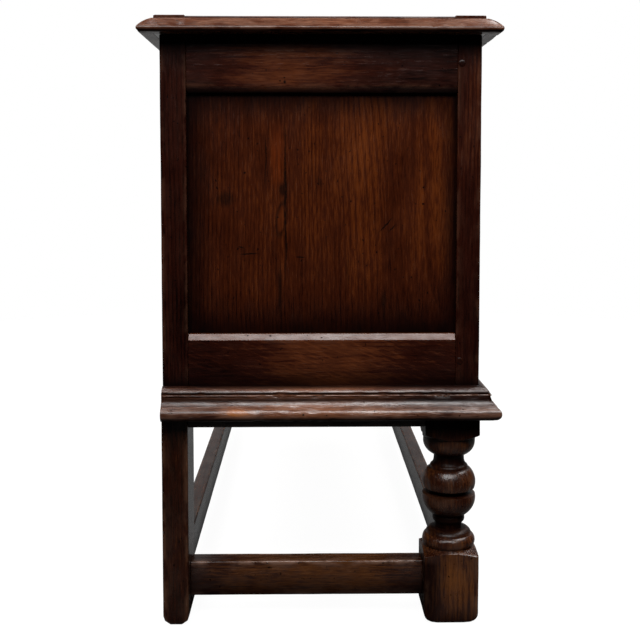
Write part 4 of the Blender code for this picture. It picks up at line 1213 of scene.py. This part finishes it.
def turned_dirt_and_shade(node):
    """Dirt and painted shade in the hollows and groove of a turned leg; painted shade on its dome, under the
    rails at its top, on the inner side of its foot and along the foot's bottom.
    """
    low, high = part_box(node)
    middle = middle_of(node)
    half = (high.x - low.x) / 2
    necks = FOOT_BLOCK_HEIGHT + CUSHION_HEIGHT + DOME_HEIGHT + LOWER_NECK_HEIGHT + RING_HEIGHT
    groove = necks + LOWER_BALL_HEIGHT + BALL_GROOVE_WIDTH / 2
    dome = FOOT_BLOCK_HEIGHT + CUSHION_HEIGHT + 0.6 * DOME_HEIGHT

    def grime_and_shade(point):
        if point.z > FOOT_BLOCK_HEIGHT - FOOT_SHOULDER_DROP:
            reach = math.hypot(point.x - middle.x, point.y - middle.y)
            hollow = 0.85 * fall(reach, 0.60 * half, 0.86 * half)
            parting = 0.95 * nearness(point.z, groove, 0.0066)
            under = 0.97 * smooth(point.z, high.z - 0.085, high.z - 0.050)
            return max(hollow, parting, under, 0.7 * nearness(point.z, dome, 0.0065))
        inner = 0.75 * smooth(point.y - middle.y, 0.1 * half, 0.8 * half)
        return max(inner, 0.6 * fall(point.z, 0.0, 0.03))

    return grime_and_shade


def turned_tone(node):
    """The outer corner of the foot is rubbed golden."""
    rubbed = middle_of(node).y - 0.003

    def tone(point):
        if point.z > FOOT_BLOCK_HEIGHT:
            return 0.1
        return 0.8 * nearness(point.y, rubbed, 0.034) * nearness(point.z, 0.058, 0.060)

    return tone


def sawn_tone_and_shade(node):
    """A sawn leg is dull all over, and painted black just under the case as shade."""
    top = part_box(node)[1].z
    return lambda point: -0.3 - 0.7 * smooth(point.z, top - 0.09, top - 0.03)


def make_legs():
    for end in ENDS:
        node = f"front_{end}_leg"
        shell = turned_leg_shell(node)
        dent(shell, random_marks(shell, seed_of(node), LEG_DENTS))
        # Dirt and painted shade in the leg's hollows, and painted shade under the case and at its foot
        dress(node, shell, STAND_OAK, "zxy", TURNED_PITH, turned_dirt_and_shade(node), turned_tone(node))
        node = f"back_{end}_leg"
        # The sawn leg is painted black just under the case as shade
        dress(node, back_leg_shell(node), SAWN_OAK, "zxy", SAWN_PITH, tone=sawn_tone_and_shade(node))


def stretcher_painted_shade(low, high):
    """Painted shade along the lower part of a stretcher."""
    clear = low.z + 0.8 * (high.z - low.z)
    return lambda point: 0.85 * fall(point.z, low.z, clear)


def stretcher_tone(low, high, axis, level):
    """A stretcher is dark at its ends."""
    length = high[axis] - low[axis]

    def tone(point):
        inside = min(point[axis] - low[axis], high[axis] - point[axis])
        return level - 0.75 * fall(inside, 0.06 * length, 0.3 * length)

    return tone


def make_stand_rails():
    for side in SIDES + ENDS:
        is_long = side in SIDES
        run = "x" if is_long else "y"
        depth = other(run)
        axis = axes_of(run)[0]
        legs = ("back_left_leg", "back_right_leg") if is_long else ("front_left_leg", "back_left_leg")
        start, end = span(*legs, axis)
        for node, ease in ((f"stand_{side}_rail", ARRIS), (f"{side}_stretcher", STRETCHER_EASE)):
            low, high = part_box(node)
            corners = plain_section(low, high, depth + "z", ease)
            shell = bar(node, corners, start, end, run + depth + "z", STAND_WANDER)
            order = run + "z" + depth
            if node.endswith("stretcher"):
                wood = SAWN_OAK if is_long else STRETCHER_OAK
                level = LONG_STRETCHER_TONE if is_long else END_STRETCHER_TONE
                tone = stretcher_tone(low, high, axis, level)
                # Painted shade along the stretcher's lower part
                dress(node, shell, wood, order, STAND_PITH, stretcher_painted_shade(low, high), tone)
            else:
                # The stand rail is painted dark all over as shade under the base moulding
                dress(node, shell, STAND_OAK, order, STAND_PITH, tone=lambda point: STAND_RAIL_SHADE)


def base_profile():
    """The base moulding's section as (reach out from the stand, height, wear) points.
    It has a nose, a cove, a bead and a slope, from the bottom up."""
    low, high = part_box("stand_left_moulding")
    bottom = low.z
    top = high.z
    stand_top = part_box("stand_left_rail")[1].z
    nose_middle = (BASE_MOULDING_REACH - BASE_NOSE_RADIUS, bottom + BASE_NOSE_RADIUS)
    nose = (BASE_NOSE_RADIUS, BASE_NOSE_RADIUS)
    # The wear on the nose, the lower cove, the bead and the slope's lip is partly a painted highlight, paling
    # them where their highlights fall
    points = worn_points(arc(nose_middle, nose, -74, BASE_NOSE_TURN, 18), 0.7)
    nose_top = points[-1]
    cove_top = bottom + BASE_COVE_RISE
    cove_end = BASE_NOSE_TURN + 180
    cove_width = (nose_top[0] - BASE_COVE_REACH) / (1 + math.cos(math.radians(cove_end)))
    cove_height = (nose_top[1] - cove_top) / math.sin(math.radians(cove_end))
    cove = arc((BASE_COVE_REACH + cove_width, cove_top), (cove_width, cove_height), cove_end, 180, 14)
    points += worn_points(cove[1:4], 0.5) + worn_points(cove[4:], 0.0)
    bead = BASE_BEAD_HEIGHT / 2
    bead_top = cove_top + BASE_BEAD_HEIGHT
    bead_middle = (BASE_COVE_REACH - BASE_BEAD_INSET, cove_top + bead)
    points += worn_points(arc(bead_middle, (bead, bead), -60, 70, 8), 0.9)
    lip = BASE_COVE_REACH - BASE_QUIRK_DEPTH
    slope_foot = bead_top + BASE_QUIRK_DEPTH
    points += [(lip, bead_top, 0.0), (lip + BASE_SLOPE_STEP, slope_foot, 0.8)]
    for step in range(1, BASE_SLOPE_STEPS + 1):
        part = step / BASE_SLOPE_STEPS
        bulge = BASE_SLOPE_BULGE * 4 * part * (1 - part)
        reach = (lip + BASE_SLOPE_STEP) * (1 - part) + bulge
        points.append((reach, slope_foot + (top - END_GAP - slope_foot) * part + bulge, 0.3 * (1 - part)))
    inner = FIT - STAND_PROUD
    back = [(inner, top), (inner, stand_top + FIT), (FIT, stand_top + FIT), (FIT, bottom)]
    return points + worn_points(back, 0.0)


def chipped_bead(point):
    """Whether a point lies where the left moulding's bead is chipped."""
    return point.y < -0.07 or 0.035 < point.y < 0.062


def worn_nose(point):
    """Whether a point lies where the left moulding's nose is rubbed rough."""
    return -0.02 < point.y < 0.085


def worn_tone(point):
    """The left moulding is rubbed along its middle, and its nose has a bare orange patch."""
    patch = 2.3 * nearness(point.y, 0.108, 0.034) * nearness(point.z, 0.2885, 0.0095)
    return max(patch, -0.4 + 1.2 * nearness(point.y, -0.01, 0.21))


def moulding_painted_shade(profile, at_end):
    """Painted shade where the base moulding meets the case, in its quirk and cove, and under its nose.
    The mouldings at the ends are also darker away from their middles."""
    top = max(height for _, height, _ in profile)
    bottom = min(height for _, height, _ in profile)
    quirk = bottom + BASE_COVE_RISE + BASE_BEAD_HEIGHT + 0.65 * BASE_QUIRK_DEPTH
    hollow = bottom + 0.88 * BASE_COVE_RISE

    def grime_and_shade(point):
        upper = 0.95 * smooth(point.z, top - 0.0034, top - 0.0004)
        below = 0.95 * fall(point.z, bottom + 0.002, bottom + 0.0105)
        crease = 0.97 * fall(abs(point.z - quirk), 0.0012, 0.0020)
        cove = 0.9 * nearness(point.z, hollow, 0.0064)
        along = 0.0
        if at_end:
            along = 0.45 * smooth(point.y, 0.05, 0.18) + 0.2 * smooth(-point.y, 0.06, 0.17)
        return max(upper, below, crease, cove, along)

    return grime_and_shade


def make_base_mouldings():
    profile = base_profile()
    half_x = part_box("stand_right_rail")[1].x
    half_y = -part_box("stand_front_rail")[0].y
    square_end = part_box("stand_left_moulding")[1].y
    pieces = {"left": (-half_x, -1, "y"), "right": (half_x, 1, "y"), "front": (-half_y, -1, "x")}
    for side, (edge, out, run) in pieces.items():
        node = f"stand_{side}_moulding"
        seed = seed_of(node)
        if run == "y":
            ends = (square_end, mitre(-half_y, -1, edge, out))
        else:
            ends = (mitre(-half_x, -1, edge, out), mitre(half_x, 1, edge, out))
        shell = moulding(node, profile, edge, out, ends, run)
        times = FRONT_MARKS if run == "x" else 1
        marks = random_marks(shell, seed, BASE_DENTS, times)
        dent(shell, marks + random_marks(shell, seed + 1, BASE_NICKS, times))
        tone = None
        if side == "left":
            marks = random_marks(shell, seed + 2, BASE_CHIPS, within=chipped_bead)
            dent(shell, marks + random_marks(shell, seed + 3, BASE_RUBS, within=worn_nose))
            tone = worn_tone
        # Painted shade in the moulding's quirk, cove, top and under its nose
        grime_and_shade = moulding_painted_shade(profile, run == "y")
        dress(node, shell, MOULDING_OAK, run + "z" + other(run), BASE_PITH, grime_and_shade, tone)


# Lid


def hinge_recesses(body):
    """The boxes that the two hinges are let into, in the case's back rail or in the lid."""
    boxes = []
    gap = Vector((FIT, FIT, FIT))
    for end in ENDS:
        low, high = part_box(f"{end}_hinge_{body}_leaf")
        start = low - gap
        stop = high + gap
        if body == "case":
            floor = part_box("back_top_rail")[1].z - HINGE_LEAF_THICKNESS - FIT
            boxes.append((Vector((start.x, start.y, floor)), stop + gap * 10))
        else:
            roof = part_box("lid_back_stile")[0].z + HINGE_LEAF_THICKNESS + FIT
            axis = middle_of(f"{end}_hinge_pin")
            boxes.append((start - gap * 10, Vector((stop.x, axis.y, roof))))
            reach = Vector((0.0, HINGE_BARREL_REACH, HINGE_BARREL_REACH))
            barrel_low = Vector((start.x, axis.y, axis.z)) - reach
            barrel_high = Vector((stop.x, axis.y, axis.z)) + reach
            boxes.append((barrel_low, barrel_high))
    return boxes


def lid_bar(node, low, high, run, cuts=()):
    order = run + other(run) + "z"
    eases = (LID_FOOT_ARRIS, LID_FOOT_ARRIS, LID_TOP_ARRIS, LID_TOP_ARRIS)
    corners = [(*corner, ease) for corner, ease in zip(rectangle(low, high, order[1:]), eases)]
    axis = axes_of(run)[0]
    shell = bar(node, corners, low[axis], high[axis], order)
    dress(node, shell, FRAME_OAK, order, LID_BAR_PITH, cuts=cuts)


def lid_profile(bottom):
    """The thumbnail edge's section as (reach out from the lid's frame, height, wear) points."""
    nose = bottom + LID_NOSE_HEIGHT
    upper = LID_MOULDING_HEIGHT - LID_NOSE_HEIGHT
    middle = (LID_MOULDING_WIDTH - LID_NOSE_RADIUS, nose)
    points = [(FIT, bottom, 0.0), (FIT + middle[0] / 2, bottom, 0.0)]
    points += worn_points(arc(middle, (LID_NOSE_RADIUS, LID_NOSE_HEIGHT), -90, 0, 8), 0.5)
    points += worn_points(arc(middle, (LID_NOSE_RADIUS, LID_NOSE_RADIUS), 0, LID_NOSE_TURN, 8)[1:], 0.5)
    foot_reach, foot_height, _ = points[-1]
    for step in range(1, LID_SLOPE_STEPS + 1):
        part = step / LID_SLOPE_STEPS
        bulge = LID_SLOPE_BULGE * 4 * part * (1 - part)
        reach = foot_reach + (LID_MOULDING_FLAT - foot_reach) * part + bulge
        points.append((reach, foot_height + (nose + upper - foot_height) * part + bulge, 0.6))
    return points + [(FIT, bottom + LID_MOULDING_HEIGHT, 0.4), (FIT, nose, 0.0)]


def nose_painted_shade(bottom):
    """Painted shade on the underside of the lid's thumbnail edge."""
    fading = bottom + 0.55 * LID_NOSE_HEIGHT
    clean = bottom + 1.05 * LID_NOSE_HEIGHT

    def grime_and_shade(point):
        rounded = smooth(point.z, bottom + 0.0002, bottom + 0.0010)
        return 0.97 * rounded * fall(point.z, fading, clean)

    return grime_and_shade


def make_lid_mouldings(lid_cuts):
    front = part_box("lid_front_stile")[0].y
    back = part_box("lid_back_stile")[1].y
    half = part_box("lid_right_rail")[1].x
    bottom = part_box("lid_front_stile")[0].z
    profile = lid_profile(bottom)
    pieces = {"front": (front, -1, "x"), "back": (back, 1, "x")}
    pieces |= {"left": (-half, -1, "y"), "right": (half, 1, "y")}
    for side, (edge, out, run) in pieces.items():
        node = f"lid_{side}_moulding"
        first, last = (-half, half) if run == "x" else (front, back)
        ends = (mitre(first, -1, edge, out), mitre(last, 1, edge, out))
        shell = moulding(node, profile, edge, out, ends, run)
        dents = LID_LONG_DENTS if run == "x" else LID_END_DENTS
        dent(shell, random_marks(shell, seed_of(node), dents))
        order = run + "z" + other(run)
        cuts = lid_cuts if side == "back" else ()
        # Painted shade under the thumbnail's nose
        grime_and_shade = nose_painted_shade(bottom)
        dress(node, shell, LID_EDGE_OAK, order, LID_EDGE_PITH, grime_and_shade, lambda point: LID_EDGE_TONE, cuts)


def make_lid():
    lid_cuts = hinge_recesses("lid")
    for side in SIDES:
        node = f"lid_{side}_stile"
        lid_bar(node, *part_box(node), "x", lid_cuts if side == "back" else ())
    front, back = span("lid_front_stile", "lid_back_stile", 1)
    for node in ("lid_left_rail", "lid_right_rail", "lid_left_muntin", "lid_right_muntin"):
        low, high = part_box(node)
        lid_bar(node, Vector((low.x, front, low.z)), Vector((high.x, back, high.z)), "y")
    for node in ("lid_left_panel", "lid_centre_panel", "lid_right_panel"):
        low, high = panel_box(node, "xy")
        shell = bar(node, plain_section(low, high, "yz", 0.0), low.x, high.x, "xyz")
        grime_and_shade = border_dirt_and_shade(low, high, "xy", LID_PANEL_DIRT_AND_SHADE, 0.6)
        dress(node, shell, PANEL_OAK, "xyz", LID_PANEL_PITH, grime_and_shade)
    make_lid_mouldings(lid_cuts)


# Pegs and screws


def ring_faces(count, rows):
    """The faces of a stack of rings with this many points each: both caps and the walls between."""
    faces = [tuple(range(count)), tuple(range((rows - 1) * count, rows * count))]
    for row in range(rows - 1):
        lower = row * count
        upper = lower + count
        for index in range(count):
            after = (index + 1) % count
            faces.append((lower + index, lower + after, upper + after, upper + index))
    return faces


def gather(shapes):
    """Several shapes' points and faces as one."""
    points = []
    faces = []
    for shape_points, shape_faces in shapes:
        start = len(points)
        points += shape_points
        faces += [tuple(start + index for index in face) for face in shape_faces]
    return points, faces


def peg(place, outward, seed):
    """A cleft peg, slightly out of round and domed, as points and faces."""
    chance = random.Random(seed)
    out = Vector(outward)
    side = out.cross(Vector((0.0, 0.0, 1.0))).normalized()
    up = side.cross(out)
    turn = chance.uniform(0, math.pi)
    radii = [PEG_RADIUS * chance.uniform(0.9, 1.05) for _ in range(PEG_SIDES)]
    rings = ((1.0, -PEG_SINK), (1.0, PEG_PROUD * 0.4), (0.86, PEG_PROUD * 0.85), (0.5, PEG_PROUD))
    points = []
    for part, height in rings:
        for index, radius in enumerate(radii):
            angle = turn + 2 * math.pi * index / PEG_SIDES
            flat = side * math.cos(angle) + up * math.sin(angle)
            points.append(place + flat * radius * part + out * height)
    return points, ring_faces(PEG_SIDES, len(rings))


def make_pegs():
    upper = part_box("left_top_rail")[1].z - PEG_DROP
    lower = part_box("left_bottom_rail")[0].z + PEG_RISE
    places = {"left": [], "right": [], "front": [], "back": []}
    for end, sign in (("left", -1), ("right", 1)):
        low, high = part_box(f"front_{end}_stile")
        face = low.x if sign < 0 else high.x
        inner = high.x - PEG_INSET if sign < 0 else low.x + PEG_INSET
        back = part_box(f"back_{end}_stile")[1].y
        for z in (upper, lower):
            places[end].append(((face, high.y - PEG_INSET, z), (sign, 0, 0)))
            places["front"].append(((inner, low.y, z), (0, -1, 0)))
            places["back"].append(((inner, back, z), (0, 1, 0)))
    for side, spots in places.items():
        shapes = []
        for index, (place, outward) in enumerate(spots):
            shapes.append(peg(Vector(place), outward, seed_of(side) + index))
        add_extra(f"pegs_{side}", *gather(shapes), FRAME_OAK, "case", "oak_frame", PEG_GRIME)


def disc(bottom, top, outline):
    """A flat solid between two levels as points and faces."""
    points = [bottom + flat for flat in outline] + [top + flat for flat in outline]
    return points, ring_faces(len(outline), 2)


def screw_head(place, up, turn):
    """A slotted countersunk head, flush with its leaf, as points and faces."""
    slot_floor = place - Vector((0.0, 0.0, up * SCREW_SLOT_DEPTH))
    bottom = place - Vector((0.0, 0.0, up * SCREW_HEAD_DEPTH))
    inset = math.asin(SCREW_SLOT_WIDTH / 2 / SCREW_HEAD_RADIUS)
    shapes = []
    rim = []
    for half in (0, 1):
        outline = []
        for step in range(SCREW_HEAD_STEPS + 1):
            angle = turn + half * math.pi + inset + (math.pi - 2 * inset) * step / SCREW_HEAD_STEPS
            outline.append(Vector((math.cos(angle), math.sin(angle), 0.0)) * SCREW_HEAD_RADIUS)
        rim += outline
        shapes.append(disc(slot_floor, place, outline))
    shapes.append(disc(bottom, slot_floor, rim))
    return gather(shapes)


def make_hinges():
    for node, slot in slots.items():
        if slot == "hinge_iron":
            nodes[node].data.materials.clear()
            nodes[node].data.materials.append(HINGE_STEEL)
    faces = {"case": (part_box("back_top_rail")[1].z, 1), "lid": (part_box("lid_back_stile")[0].z, -1)}
    case_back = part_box("back_left_stile")[1].y
    pitch = HINGE_LENGTH / HINGE_SCREWS
    for end in ENDS:
        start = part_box(f"{end}_hinge_pin")[0].x
        for body, (face, up) in faces.items():
            row = (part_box(f"{end}_hinge_{body}_leaf")[0].y + case_back - LEAF_SETBACK) / 2
            shapes = []
            for index in range(HINGE_SCREWS):
                across = row + SCREW_STAGGER * (-1) ** index
                place = Vector((start + (index + 0.5) * pitch, across, face - up * FIT))
                shapes.append(screw_head(place, up, SCREW_TURN + index * SCREW_TURN_STEP))
            add_extra(f"{end}_hinge_{body}_screws", *gather(shapes), HINGE_STEEL, body, "hinge_iron")


# Light, floor and camera


def make_world():
    """A dim room with a pale ceiling and a pale wall behind the chest. The camera sees plain white."""
    world = bpy.data.worlds.new("studio")
    bpy.context.scene.world = world
    world.use_nodes = True
    graph = Graph(world.node_tree)
    direction = graph.split(graph.place("Generated"))
    ceiling = graph.rise(direction[2], 0.35, 0.95, 0.0, 0.30)
    ceiling = graph.times(ceiling, graph.rise(direction[0], 0.3, -0.1, 0.15, 1.0))
    behind = graph.times(graph.rise(direction[0], 0.55, 0.85), graph.rise(direction[2], 0.50, 0.38))
    light = graph.most(graph.most(ceiling, graph.times(behind, 0.32)), 0.012)
    path = graph.node("ShaderNodeLightPath", {}).outputs
    seen = graph.most(path["Is Camera Ray"], path["Is Transmission Ray"])
    background = graph.node("ShaderNodeBackground", {"Color": WHITE, "Strength": graph.most(light, seen)})
    graph.node("ShaderNodeOutputWorld", {"Surface": background.outputs[0]})


def make_floor():
    """A pale floor that keeps a soft shadow near the chest and fades to white away from it."""
    mesh = bpy.data.meshes.new("floor")
    bm = bmesh.new()
    bmesh.ops.create_circle(bm, cap_ends=True, radius=FLOOR_RADIUS, segments=FLOOR_SIDES)
    bm.to_mesh(mesh)
    bm.free()
    floor = add_object("floor", mesh)
    material, graph = new_material("floor")
    place = graph.split(graph.node("ShaderNodeNewGeometry", {}).outputs["Position"])
    distance = graph.length(graph.times(place[0], 0.42), place[1])
    path = graph.node("ShaderNodeLightPath", {}).outputs
    seen = graph.times(path["Is Camera Ray"], graph.rise(distance, 0.30, 0.62, 0.97, 1.0))
    mirrored = graph.times(path["Is Glossy Ray"], graph.rise(place[0], -0.5, -0.2, 0.0, 0.16))
    glow = graph.node("ShaderNodeEmission", {"Color": WHITE, "Strength": graph.most(seen, mirrored)})
    shade = graph.mix(graph.rise(distance, 0.35, 0.75), colour(76, 75, 74), colour(36, 35, 34))
    paint = graph.node("ShaderNodeBsdfDiffuse", {"Color": shade})
    both = graph.node("ShaderNodeAddShader", {0: glow.outputs[0], 1: paint.outputs[0]})
    graph.node("ShaderNodeOutputMaterial", {"Surface": both.outputs[0]})
    mesh.materials.append(material)


def make_lights():
    """Soft lamps on all sides. The one at the far end isn't mirrored in the wood."""
    for name, (place, target, size, energy) in LAMPS.items():
        lamp = bpy.data.lights.new(name, "AREA")
        lamp.shape = "RECTANGLE"
        lamp.size, lamp.size_y = size
        lamp.energy = energy
        obj = add_object(name, lamp)
        obj.location = place
        aim = Vector(target) - Vector(place)
        obj.rotation_euler = aim.to_track_quat("-Z", "Y").to_euler()
        if name == "far_end_softbox":
            obj.visible_glossy = False


def make_camera():
    camera = add_object("camera", bpy.data.cameras.new("camera"))
    camera.data.sensor_width = CAMERA_SENSOR
    camera.data.lens = CAMERA_LENS
    camera.data.shift_y = CAMERA_SHIFT
    camera.location = CAMERA_PLACE
    camera.rotation_euler = (math.radians(90 - CAMERA_DIP), 0.0, math.radians(-90 - CAMERA_TURN))
    bpy.context.scene.camera = camera


def main():
    make_stiles()
    make_rails()
    make_muntins()
    make_panels()
    make_floor_boards()
    make_legs()
    make_stand_rails()
    make_base_mouldings()
    make_lid()
    make_pegs()
    make_hinges()
    make_world()
    make_floor()
    make_lights()
    make_camera()
    bpy.context.scene.view_settings.view_transform = "Standard"


main()
